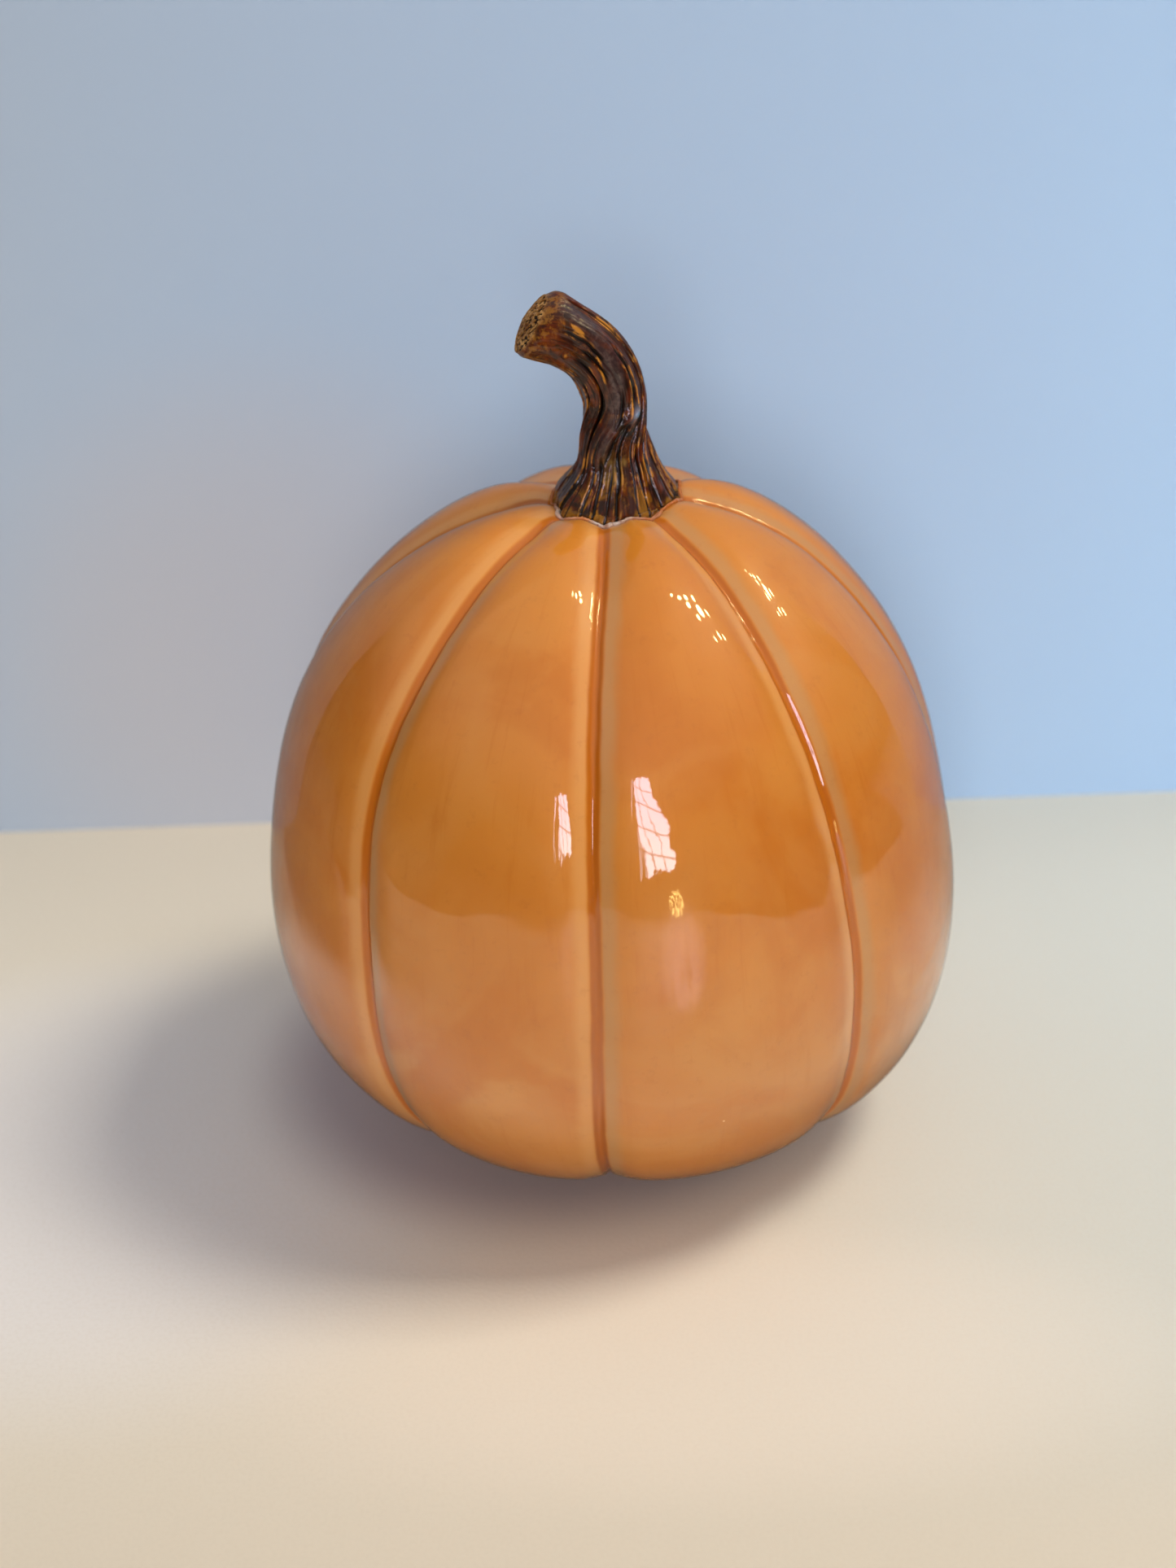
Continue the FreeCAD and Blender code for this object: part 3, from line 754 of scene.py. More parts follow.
def make_core():
    angle = np.linspace(0, 2 * np.pi, CORE_COLUMNS, endpoint=False)
    start = np.interp(angle, stem_angles, hem_along)

    def level_ring(radius, z, uneven=0.0):
        height = np.full(CORE_COLUMNS, z)
        spot = np.stack([np.cos(angle) * 2, np.sin(angle) * 2, height * 0.3], -1)
        return foot_ring(angle, radius + uneven * noise(spot), height)

    sides = [stem_inside(start + (CORE_END - start) * part, angle, CORE_LIFT)
             for part in np.linspace(0, 1, CORE_ROWS)]
    # the underside closes in from the hem to the plug
    under = [sides[0] * (1 - part) + level_ring(PLUG_RADIUS, 169.4) * part
             for part in (1.0, 0.7, 0.35)]
    rings = [level_ring(*ring) for ring in PLUG_RINGS] + under + sides
    bottom = np.array([[stem_foot[0], stem_foot[1], PLUG_BOTTOM]])
    top = rings[-1].mean(0)[None, :] + CUT_NORMAL * 0.3
    bottom_index = len(rings) * CORE_COLUMNS
    faces = tube_faces(0, len(rings), CORE_COLUMNS)
    faces += fan_faces(bottom_index, 0, CORE_COLUMNS, flip=True)
    faces += fan_faces(bottom_index + 1, bottom_index - CORE_COLUMNS, CORE_COLUMNS)
    return make_object("stem_clay_core", np.concatenate(rings + [bottom, top]), faces, {})


# ------------------------------------------------------------ luting slip
SLIP_COLUMNS = 420
SLIP_RINGS = 22
# beads on the ring: angle (degrees), size, spread (radians)
SLIP_BEADS = ((-7.0, 1.0, 0.085), (-62.0, 0.30, 0.10), (38.0, 0.35, 0.12),
              (72.0, 0.35, 0.08), (150.0, 0.4, 0.15))


def make_slip():
    """A lumpy roll of slip around the foot of the stem."""
    angle = np.linspace(-np.pi, np.pi, SLIP_COLUMNS, endpoint=False)

    def bead_at(degrees, size, spread):
        return size * bell(wrap(angle - math.radians(degrees)), spread)

    beads = sum(bead_at(*bead) for bead in SLIP_BEADS)
    wide = (0.42 + 0.24 * circle_noise(angle, 3, 2.1, 4.0)
            + 0.26 * circle_noise(angle, 3, 7.0, 14.0))
    tall = (0.36 + 0.20 * circle_noise(angle, 3, 2.9, 24.0)
            + 0.26 * circle_noise(angle, 3, 8.0, 34.0))
    wide = np.clip(wide + 0.55 * beads, 0.32, 1.4)
    tall = np.clip(tall + 0.40 * beads, 0.22, 1.1)
    middle = hem_radius(angle) + 0.30 * wide
    rings = []
    faces = []
    for k in range(SLIP_RINGS):
        turn = 2 * np.pi * k / SLIP_RINGS
        spot = np.stack([np.cos(angle) * 9, np.sin(angle) * 9,
                         np.full(SLIP_COLUMNS, math.sin(turn) * 2 + math.cos(turn))], -1)
        lumps = 1 + 0.16 * noise(spot * 1.6 + 7.0)
        ring = foot_ring(angle, middle + wide * np.cos(turn) * lumps, 0 * angle)
        rise = tall * np.sin(turn)
        ground = body_height(ring[:, 0], ring[:, 1])
        ring[:, 2] = np.where(rise >= 0, ground - 0.15 + rise * lumps,
                              ground - 0.25 + 0.8 * rise)
        rings.append(ring)
        faces += ring_faces(k * SLIP_COLUMNS, ((k + 1) % SLIP_RINGS) * SLIP_COLUMNS,
                            SLIP_COLUMNS)
    # bare and pale at the front and on the beads
    pale = np.clip(0.95 * bell(wrap(angle + 0.24), 0.55) + 0.25 * bead_at(-62.0, 1.0, 0.2)
                   + 0.8 * beads, 0, 1)
    return make_object("luting_slip_ring", np.concatenate(rings), faces,
                       {"pale": np.tile(pale, SLIP_RINGS)})


orange_glaze = make_orange_glaze()
stem_glaze = make_stem_glaze()
stem_core = make_core()
slip_ring = make_slip()


# ------------------------------------------------------- material helpers
DOWN = (1.0, 0.0)                # for a fade that falls instead of rising


def rgb(*channels):
    """Linear colour from 0..255 display values."""
    def linear(value):
        value = value / 255.0
        return value / 12.92 if value <= 0.04045 else ((value + 0.055) / 1.055) ** 2.4
    return tuple(linear(value) for value in channels) + (1.0,)


class NodeNet:
    """Short ways of adding nodes to one node tree. Inputs may be numbers,
    colours or sockets."""

    def __init__(self, tree, output_kind):
        self.tree = tree
        tree.nodes.clear()
        self.output = tree.nodes.new(output_kind)

    def node(self, kind, **props):
        node = self.tree.nodes.new(kind)
        for key, value in props.items():
            setattr(node, key, value)
        return node

    def feed(self, socket, value):
        if isinstance(value, bpy.types.NodeSocket):
            self.tree.links.new(value, socket)
        else:
            socket.default_value = value

    def fed(self, kind, *values):
        """First output of a node whose first inputs are given."""
        node = self.node(kind)
        for i, value in enumerate(values):
            self.feed(node.inputs[i], value)
        return node.outputs[0]

    def finish(self, shader):
        self.feed(self.output.inputs["Surface"], shader)

    def math(self, operation, *values):
        node = self.node("ShaderNodeMath", operation=operation)
        for i, value in enumerate(values):
            self.feed(node.inputs[i], value)
        return node.outputs[0]

    def add(self, first, second):
        return self.math("ADD", first, second)

    def sub(self, first, second):
        return self.math("SUBTRACT", first, second)

    def div(self, first, second):
        return self.math("DIVIDE", first, second)

    def mul(self, product, *factors):
        for factor in factors:
            product = self.math("MULTIPLY", product, factor)
        return product

    def scale_add(self, value, scale, plus):
        return self.math("MULTIPLY_ADD", value, scale, plus)

    def larger(self, first, second):
        return self.math("MAXIMUM", first, second)

    def offset(self, value, centre):
        """Value measured from a centre."""
        return self.add(value, -centre) if centre < 0 else self.sub(value, centre)

    def square_sum(self, first, second):
        return self.add(self.mul(first, first), self.mul(second, second))

    def ellipse(self, x, y, centre, half):
        """Squared distance from a centre, 1 at the half widths."""
        return self.square_sum(self.div(self.offset(x, centre[0]), half[0]),
                               self.div(self.offset(y, centre[1]), half[1]))

    def distance(self, x, y):
        return self.math("SQRT", self.square_sum(x, y))

    def attr(self, name, output="Fac"):
        return self.node("ShaderNodeAttribute", attribute_name=name).outputs[output]

    def coords(self):
        return self.node("ShaderNodeTexCoord").outputs["Object"]

    def split(self, vector):
        node = self.node("ShaderNodeSeparateXYZ")
        self.feed(node.inputs[0], vector)
        return tuple(node.outputs)

    def mapping(self, vector, stretch, shift=(0, 0, 0)):
        node = self.node("ShaderNodeMapping")
        self.feed(node.inputs["Vector"], vector)
        node.inputs["Scale"].default_value = stretch
        node.inputs["Location"].default_value = shift
        return node.outputs[0]

    def noise(self, vector, scale=1.0, detail=2.0, rough=0.5, warp=0.0,
              stretch=None, shift=(0, 0, 0)):
        if stretch:
            vector = self.mapping(vector, stretch, shift)
        node = self.node("ShaderNodeTexNoise")
        for key, value in (("Vector", vector), ("Scale", scale), ("Detail", detail),
                           ("Roughness", rough), ("Distortion", warp)):
            self.feed(node.inputs[key], value)
        return node.outputs["Fac"]

    def voronoi(self, vector, scale, **props):
        node = self.node("ShaderNodeTexVoronoi", **props)
        self.feed(node.inputs["Vector"], vector)
        node.inputs["Scale"].default_value = scale
        return node.outputs

    def ramp(self, value, stops):
        node = self.node("ShaderNodeValToRGB")
        self.feed(node.inputs[0], value)
        elements = node.color_ramp.elements
        elements.remove(elements[-1])
        elements[0].position, elements[0].color = stops[0]
        for position, color in stops[1:]:
            elements.new(position).color = color
        return node.outputs["Color"]

    def fade(self, value, over, to=(0.0, 1.0), kind="SMOOTHSTEP"):
        """Maps the span 'over' to the span 'to', clamped."""
        node = self.node("ShaderNodeMapRange", interpolation_type=kind, clamp=True)
        for key, number in (("Value", value), ("From Min", over[0]), ("From Max", over[1]),
                            ("To Min", to[0]), ("To Max", to[1])):
            self.feed(node.inputs[key], number)
        return node.outputs["Result"]

    def between(self, value, rise, fall):
        return self.mul(self.fade(value, over=rise), self.fade(value, over=fall, to=DOWN))

    def mix(self, mask, below, above):
        node = self.node("ShaderNodeMix", data_type="RGBA", clamp_factor=True)
        self.feed(node.inputs[0], mask)
        self.feed(node.inputs[6], below)
        self.feed(node.inputs[7], above)
        return node.outputs[2]

    def tint(self, base, color, mask, amount=None):
        """Lays a colour over the base where the mask is, scaled by amount."""
        if amount is not None:
            mask = self.mul(mask, amount)
        return self.mix(mask, base, color)

    def bump(self, height, strength, distance, normal=None):
        node = self.node("ShaderNodeBump")
        self.feed(node.inputs["Height"], height)
        node.inputs["Strength"].default_value = strength
        node.inputs["Distance"].default_value = distance
        if normal is not None:
            self.feed(node.inputs["Normal"], normal)
        return node.outputs[0]

    def principled(self, **inputs):
        node = self.node("ShaderNodeBsdfPrincipled")
        for key, value in inputs.items():
            self.feed(node.inputs[key.replace("_", " ")], value)
        return node.outputs[0]

    def emission(self, color, strength=1.0):
        return self.fed("ShaderNodeEmission", color, strength)

    def mix_shader(self, mask, first, second):
        return self.fed("ShaderNodeMixShader", mask, first, second)

    def add_shader(self, first, second):
        return self.fed("ShaderNodeAddShader", first, second)


def new_material(name):
    material = bpy.data.materials.new(name)
    material.use_nodes = True
    return material, NodeNet(material.node_tree, "ShaderNodeOutputMaterial")


def give(obj, material):
    obj.data.materials.clear()
    obj.data.materials.append(material)


# -------------------------------------------------------------- materials
def orange_material():
    material, net = new_material("orange_glaze_gloss")
    coords = net.coords()
    groove = net.attr("groove")
    groove_dist = net.attr("gdist")
    streak = net.attr("streak", "Vector")
    elev = net.attr("elev")
    big = net.noise(coords, scale=16.0, detail=3.0, rough=0.55, warp=0.8)
    medium = net.noise(coords, scale=42.0, detail=4.0, rough=0.6, warp=0.5,
                       stretch=(1, 1, 0.8), shift=(3, 1, 7))
    cloud = net.noise(coords, scale=26.0, detail=3.0, warp=1.2,
                      stretch=(1, 1, 0.9), shift=(9, 4, 2))
    fine = net.noise(coords, scale=300.0, detail=4.0, rough=0.65)
    brush = net.noise(streak, detail=4.0, rough=0.6, stretch=(0.30, 0.030, 1.0))
    base = net.mix(net.fade(big, over=(0.36, 0.64)), rgb(187, 107, 32), rgb(196, 120, 42))
    # cloudy patches where the glaze is thin over the pale body
    low = net.fade(elev, over=(8.0, -22.0))
    base = net.tint(base, rgb(205, 141, 72), net.fade(cloud, over=(0.42, 0.66)),
                    amount=net.scale_add(low, scale=0.52, plus=0.24))
    base = net.tint(base, rgb(208, 134, 58), net.fade(medium, over=(0.50, 0.72)), amount=0.26)
    base = net.tint(base, rgb(176, 96, 18), net.fade(medium, over=(0.46, 0.28)), amount=0.34)
    base = net.tint(base, rgb(178, 98, 20), net.fade(brush, over=(0.52, 0.74)), amount=0.30)
    base = net.tint(base, rgb(196, 126, 58), low, amount=0.30)
    # warmer toward the shoulder, browner at the very foot
    base = net.tint(base, rgb(214, 134, 34), net.fade(elev, over=(40.0, 72.0), to=(0.0, 0.40)))
    base = net.tint(base, rgb(160, 78, 12), net.fade(elev, over=(-42.0, -66.0), to=(0.0, 0.80)))
    # thin and pale over the lips, which end raggedly; the lip left of each groove is also painted
    # lighter as if lit from the right, the lip right of it greyer as if in shade
    ragged = net.noise(streak, detail=3.0, stretch=(0.20, 0.08, 1.0))
    ragged = net.mul(net.sub(ragged, 0.5), 2.2)
    lip = net.mul(net.fade(groove_dist, over=(1.35, 2.2)),
                  net.fade(net.add(groove_dist, ragged), over=(3.2, 6.4), to=DOWN))
    # painted light and shade: light peach on the lip facing the light, grey-beige on the lip
    # facing away
    lip_tone_and_painted_side_light = net.mix(net.fade(groove, over=(-0.6, 0.6)), rgb(218, 156, 88),
                        rgb(176, 136, 88))
    base = net.tint(base, lip_tone_and_painted_side_light, lip, amount=0.52)
    # pooled and saturated in the channel
    pool = net.fade(net.add(groove_dist, net.mul(ragged, 0.10)), over=(1.0, 1.75), to=DOWN)
    base = net.tint(base, rgb(176, 92, 10), pool, amount=0.92)
    # fine freckle and a few pinholes
    base = net.tint(base, rgb(150, 82, 30), net.fade(fine, over=(0.56, 0.74)), amount=0.14)
    cells = net.voronoi(coords, scale=78.0)
    chance = net.fed("ShaderNodeSeparateColor", cells["Color"])
    pinhole = net.mul(net.fade(cells["Distance"], over=(0.016, 0.030), to=DOWN),
                      net.math("GREATER_THAN", chance, 0.86))
    base = net.tint(base, rgb(255, 214, 150), pinhole, amount=0.85)
    normal = net.bump(net.noise(coords, scale=260.0), strength=0.10, distance=0.0004)
    normal = net.bump(pinhole, strength=0.25, distance=0.0003, normal=normal)
    gloss = net.noise(streak, detail=3.0, stretch=(0.9, 0.05, 1.0))
    net.finish(net.principled(
        Base_Color=base,
        Roughness=net.fade(net.noise(coords, scale=90.0, detail=3.0), over=(0.3, 0.7),
                           to=(0.34, 0.46), kind="LINEAR"),
        Specular_IOR_Level=0.15,
        Coat_Weight=1.0,
        Coat_Roughness=net.fade(gloss, over=(0.45, 0.75), to=(0.018, 0.050), kind="LINEAR"),
        Coat_IOR=1.74,
        Subsurface_Weight=0.06,
        Subsurface_Scale=0.003,
        Subsurface_Radius=(1.0, 0.45, 0.12),
        Normal=normal,
        Coat_Normal=net.bump(net.noise(coords, scale=200.0), strength=0.035,
                             distance=0.0003)))
    return material


def brown_material():
    material, net = new_material("brown_glaze_gloss")
    coords = net.coords()
    deep = net.attr("deep")
    crest, shade, knuckle_highlight = net.split(net.attr("crest", "Vector"))
    rib, olive, _ = net.split(net.attr("patch", "Vector"))
    along = net.attr("along")
    grain = net.attr("grain", "Vector")
    big = net.noise(coords, scale=120.0, detail=3.0, rough=0.6, warp=0.8)
    fine = net.noise(coords, scale=520.0, detail=4.0, rough=0.7, warp=0.4)
    mottle = net.noise(coords, scale=230.0, detail=4.0, rough=0.65, warp=0.8,
                       stretch=(1, 1, 0.7), shift=(5, 2, 8))
    line = net.noise(grain, detail=4.0, rough=0.65, stretch=(1.1, 1.1, 0.09))
    fine_line = net.noise(grain, detail=4.0, rough=0.6, stretch=(2.6, 2.6, 0.16))
    # deep brown, rusty and plum in turn
    color = net.ramp(big, [(0.34, rgb(22, 7, 4)), (0.46, rgb(42, 13, 3)),
                           (0.56, rgb(78, 25, 2)), (0.68, rgb(102, 42, 3))])
    color = net.tint(color, rgb(104, 50, 8), net.fade(line, over=(0.50, 0.66)), amount=0.55)
    color = net.tint(color, rgb(140, 82, 16), net.fade(mottle, over=(0.56, 0.68)), amount=0.60)
    color = net.tint(color, rgb(18, 7, 4), net.fade(mottle, over=(0.46, 0.34)), amount=0.80)
    plum = net.noise(grain, detail=3.0, stretch=(0.30, 0.30, 0.05), shift=(7, 3, 1))
    color = net.tint(color, rgb(52, 34, 32), net.fade(plum, over=(0.52, 0.62)), amount=0.75)
    color = net.tint(color, rgb(18, 7, 4), net.fade(fine_line, over=(0.54, 0.66)), amount=0.60)
    # amber where the coat breaks over the ridges
    breaks = net.noise(coords, scale=90.0, detail=3.0)
    amber = net.mul(crest, net.fade(mottle, over=(0.40, 0.60), to=(0.08, 1.0)),
                    net.fade(breaks, over=(0.40, 0.58), to=(0.22, 1.0)))
    amber = net.fade(amber, over=(0.18, 0.75))
    color = net.tint(color, rgb(186, 122, 38), amber, amount=0.92)
    # painted shade in the hollow under the fold, with fine cracks
    color = net.tint(color, rgb(22, 9, 5), shade, amount=0.72)
    cells = net.voronoi(net.mapping(grain, stretch=(1.5, 1.5, 1.0)), scale=1.0,
                        feature="DISTANCE_TO_EDGE")
    cracks = net.mul(net.fade(cells["Distance"], over=(0.03, 0.09), to=DOWN), shade)
    color = net.tint(color, rgb(120, 66, 26), cracks, amount=0.55)
    # ochre mottling at the foot, stronger along the hem
    color = net.tint(color, rgb(140, 92, 12), net.fade(along, over=(0.08, 0.30), to=DOWN),
                     amount=net.fade(mottle, over=(0.46, 0.60), to=(0.0, 0.85)))
    color = net.tint(color, rgb(150, 100, 34), net.fade(along, over=(0.085, 0.125), to=DOWN),
                     amount=net.fade(fine, over=(0.40, 0.60), to=(0.1, 0.8)))
    # olive patch on the front
    patch = net.scale_add(net.sub(fine, 0.5), scale=1.6, plus=olive)
    olive_color = net.mix(net.fade(mottle, over=(0.42, 0.60)), rgb(88, 54, 12),
                          rgb(140, 110, 54))
    color = net.tint(color, olive_color, net.fade(patch, over=(0.25, 0.70)), amount=0.50)
    # amber toward the cut end; on the smooth rib a plum-grey that is partly its own plum and
    # partly a painted sheen of the wall mirrored in it
    color = net.tint(color, rgb(150, 98, 26), net.fade(along, over=(0.86, 0.99)),
                     amount=net.fade(fine, over=(0.44, 0.60), to=(0.0, 0.62)))
    rib_plum_and_painted_sheen = net.mix(net.fade(fine, over=(0.40, 0.62)), rgb(46, 32, 34), rgb(84, 66, 62))
    color = net.tint(color, rib_plum_and_painted_sheen, rib,
                     amount=net.fade(mottle, over=(0.32, 0.60), to=(0.95, 0.60)))
    # near black in the flutes; a painted bluish highlight on the crown of the oval bump at the
    # top of the fold
    color = net.tint(color, rgb(10, 5, 3), net.fade(deep, over=(0.24, 0.60)))
    color = net.tint(color, rgb(120, 160, 190), knuckle_highlight, amount=0.60)
    # cut end: ochre scales
    cut = net.fade(along, over=(0.985, 1.01))
    scales = net.mix(net.fade(fine, over=(0.38, 0.62)), rgb(122, 74, 26), rgb(186, 142, 84))
    scales = net.tint(scales, rgb(86, 44, 16), net.fade(mottle, over=(0.50, 0.64)), amount=0.7)
    scales = net.tint(scales, rgb(24, 12, 7), net.fade(deep, over=(0.15, 0.60)))
    color = net.tint(color, scales, cut)
    normal = net.bump(fine_line, strength=0.40, distance=0.0004)
    normal = net.bump(fine, strength=0.35, distance=0.0003, normal=normal)
    coat_height = net.noise(coords, scale=520.0, detail=3.0, rough=0.6)
    net.finish(net.principled(
        Base_Color=color,
        Roughness=net.fade(net.noise(coords, scale=500.0), over=(0.3, 0.7), to=(0.30, 0.46),
                           kind="LINEAR"),
        Specular_IOR_Level=0.18,
        Coat_Weight=net.mul(
            net.fade(cut, over=(0.0, 1.0), to=(0.85, 0.30), kind="LINEAR"),
            net.fade(along, over=(0.78, 0.90), to=(1.0, 0.8))),
        Coat_Roughness=net.fade(net.noise(coords, scale=300.0), over=(0.35, 0.7),
                                to=(0.02, 0.07), kind="LINEAR"),
        Coat_IOR=1.50,
        Normal=normal,
        Coat_Normal=net.bump(coat_height, strength=0.60, distance=0.0003)))
    return material


def clay_material(name, pale, dark, speck, scale=1.0):
    material, net = new_material(name)
    coords = net.coords()
    cloud = net.noise(coords, scale=70.0 * scale, detail=4.0, rough=0.6)
    grit = net.noise(coords, scale=900.0 * scale, detail=3.0, rough=0.6)
    color = net.mix(net.fade(cloud, over=(0.35, 0.65)), dark, pale)
    color = net.tint(color, speck, net.fade(grit, over=(0.60, 0.70)), amount=0.55)
    grain = net.noise(coords, scale=1500.0 * scale, detail=3.0, rough=0.65)
    normal = net.bump(grain, strength=0.35, distance=0.0002)
    net.finish(net.principled(
        Base_Color=color,
        Roughness=net.fade(grit, over=(0.3, 0.7), to=(0.72, 0.92), kind="LINEAR"),
        Specular_IOR_Level=0.25,
        Normal=net.bump(cloud, strength=0.3, distance=0.0008, normal=normal)))
    return material


def slip_material():
    material, net = new_material("pale_slip_matte")
    coords = net.coords()
    cloud = net.noise(coords, scale=260.0, detail=4.0, rough=0.6, warp=0.4)
    grit = net.noise(coords, scale=1100.0, detail=3.0, rough=0.6)
    color = net.ramp(cloud, [(0.34, rgb(150, 104, 78)), (0.48, rgb(176, 148, 130)),
                             (0.62, rgb(196, 182, 174))])
    color = net.tint(color, rgb(112, 70, 48), net.fade(grit, over=(0.58, 0.68)), amount=0.7)
    stain = net.fade(net.noise(coords, scale=160.0), over=(0.56, 0.64))
    color = net.tint(color, rgb(206, 128, 66), stain, amount=0.65)
    # brown where the slip is not bare
    color = net.mix(net.fade(net.attr("pale"), over=(0.10, 0.62)), rgb(168, 94, 38), color)
    net.finish(net.principled(
        Base_Color=color, Roughness=0.55, Specular_IOR_Level=0.35, Coat_Weight=0.35,
        Coat_Roughness=0.3, Normal=net.bump(grit, strength=0.5, distance=0.0003)))
    return material


give(orange_glaze, orange_material())
give(stem_glaze, brown_material())
bisque = clay_material("bisque_clay_matte", pale=rgb(226, 212, 194), dark=rgb(206, 186, 164),
                       speck=rgb(150, 124, 100))
give(stem_core, clay_material("stem_clay_matte", pale=rgb(214, 190, 164),
                              dark=rgb(188, 160, 132), speck=rgb(130, 96, 70), scale=1.4))
give(slip_ring, slip_material())
give(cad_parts["pumpkin_shell"], bisque)

# object, the CAD piece it replaces, its material slot
for obj, piece, slot in (
        (orange_glaze, "orange_glaze", "orange_glaze"),
        (stem_glaze, "brown_glaze", "brown_glaze"),
        (stem_core, "stem", "stem_clay"),
        (slip_ring, "luting_slip", "pale_slip")):
    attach(obj, "root")
    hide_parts(piece)


# ------------------------------------------------------------------ stage
FLOOR_HALF = 4
WALL_Y = 0.155
WINDOW_Y = -2.0
BACKGROUND = rgb(190, 204, 222)
BACKGROUND_STRENGTH = 0.80


def make_plane(name, corners):
    mesh = bpy.data.meshes.new(name)
    mesh.from_pydata(corners, [], [(0, 1, 2, 3)])
    return link_object(name, mesh)


def upright(name, y, left, right, bottom, top):
    return make_plane(name, [(left, y, bottom), (right, y, bottom),
                             (right, y, top), (left, y, top)])


floor = make_plane("floor", [(-FLOOR_HALF, -FLOOR_HALF, 0), (FLOOR_HALF, -FLOOR_HALF, 0),
                             (FLOOR_HALF, FLOOR_HALF, 0), (-FLOOR_HALF, FLOOR_HALF, 0)])
wall = upright("backdrop", WALL_Y, left=-0.36, right=0.42, bottom=-0.001, top=0.80)
window = upright("window", WINDOW_Y, left=-0.35, right=1.05, bottom=0.01, top=1.75)


def floor_color(net, coords, x, y, grit):
    """Warm on the left, greener to the right, with painted shadow and painted light near the
    object.
    """
    color = net.mix(net.fade(x, over=(-0.06, 0.16)), rgb(224, 214, 196), rgb(202, 202, 192))
    color = net.tint(color, rgb(212, 198, 176), net.fade(y, over=(-0.10, -0.20)))
    # painted light: the cast shadow on the left is lifted, lighter and cooler
    painted_lift_in_shadow = net.ellipse(x, y, centre=(-0.135, -0.030), half=(0.100, 0.095))
    color = net.tint(color, rgb(228, 224, 222), net.fade(painted_lift_in_shadow, over=(0.2, 1.5), to=(0.85, 0.0)))
    cloud = net.noise(coords, scale=3.0)
    color = net.tint(color, rgb(208, 198, 176), net.fade(cloud, over=(0.3, 0.7)), amount=0.3)
    color = net.tint(color, rgb(196, 182, 160), net.fade(grit, over=(0.4, 0.7)), amount=0.10)
    # painted contact shadow, dark under the body
    under = net.distance(net.offset(x, -0.020), net.offset(y, 0.012))
    color = net.tint(color, rgb(126, 108, 124),
                     net.fade(under, over=(0.060, 0.092), to=(0.60, 0.0)))
    # painted light: warm and light in front of it, lifting the shadow there
    front = net.ellipse(x, y, centre=(0.020, -0.115), half=(0.110, 0.045))
    return net.tint(color, rgb(246, 228, 208), net.fade(front, over=(0.1, 1.5), to=(0.25, 0.0)))


def floor_dark_in_glaze_mask(net, x, y, place_x, place_y):
    """Where the floor is dark as the glaze mirrors it: past the table's edges, at both sides,
    behind, and close around the body, where the dark is a painted shade under the foot."""
    edge_x = net.fade(net.math("ABSOLUTE", net.add(place_x, 0.065)), over=(0.485, 0.520))
    edge_y = net.fade(net.mul(place_y, -1.0), over=(0.62, 1.25))
    edges = net.mul(net.larger(edge_x, edge_y), net.fade(place_y, over=(0.05, 0.12), to=DOWN))
    sides = net.larger(net.fade(net.mul(place_x, -1.0), over=(0.19, 0.27), to=(0.0, 0.85)),
                       net.fade(place_x, over=(0.22, 0.32), to=(0.0, 0.55)))
    sides = net.mul(sides, net.fade(place_y, over=(-0.22, -0.04)))
    behind_and_painted_foot_shade = net.larger(net.fade(place_y, over=(0.02, 0.10), to=(0.0, 0.55)),
                        net.fade(net.distance(x, y), over=(0.080, 0.125), to=(0.80, 0.0)))
    return net.larger(net.larger(edges, sides), behind_and_painted_foot_shade)


def floor_glints(net, place_x, place_y, start_x, glossy):
    """Window light on the table in front and a warm glint beyond it, as the
    front right-hand lobe mirrors them."""
    only = net.mul(net.between(start_x, rise=(0.002, 0.008), fall=(0.050, 0.060)), glossy)
    # slopes of the view from the lobe, at x 0.022, y -0.088, 0.085 high
    ahead = net.larger(net.mul(net.add(place_y, 0.088), -1.0), 0.02)
    across = net.div(net.sub(place_x, 0.022), ahead)
    down = net.div(0.085, ahead)
    view = net.fed("ShaderNodeCombineXYZ", across, down)
    streaks = net.noise(view, stretch=(14.0, 5.0, 1.0))
    patch = net.mul(
        net.fade(net.ellipse(across, down, centre=(0.31, 0.27), half=(0.190, 0.22)),
                 over=(0.0, 1.2), to=DOWN),
        net.fade(streaks, over=(0.30, 0.55), to=(0.35, 1.0)))
    flecks = net.noise(view, detail=1.0, stretch=(75.0, 90.0, 1.0), shift=(2.0, 5.0, 0.0))
    spark = net.mul(
        net.fade(net.ellipse(across, down, centre=(0.285, 0.062), half=(0.060, 0.040)),
                 over=(0.6, 1.0), to=DOWN),
        net.fade(flecks, over=(0.49, 0.54)))
    glare = net.emission((1.0, 0.70, 0.76, 1), strength=net.mul(patch, only, 1.25))
    warm = net.emission((1.0, 0.72, 0.22, 1), strength=net.mul(spark, only, 12.0))
    return net.add_shader(glare, warm)


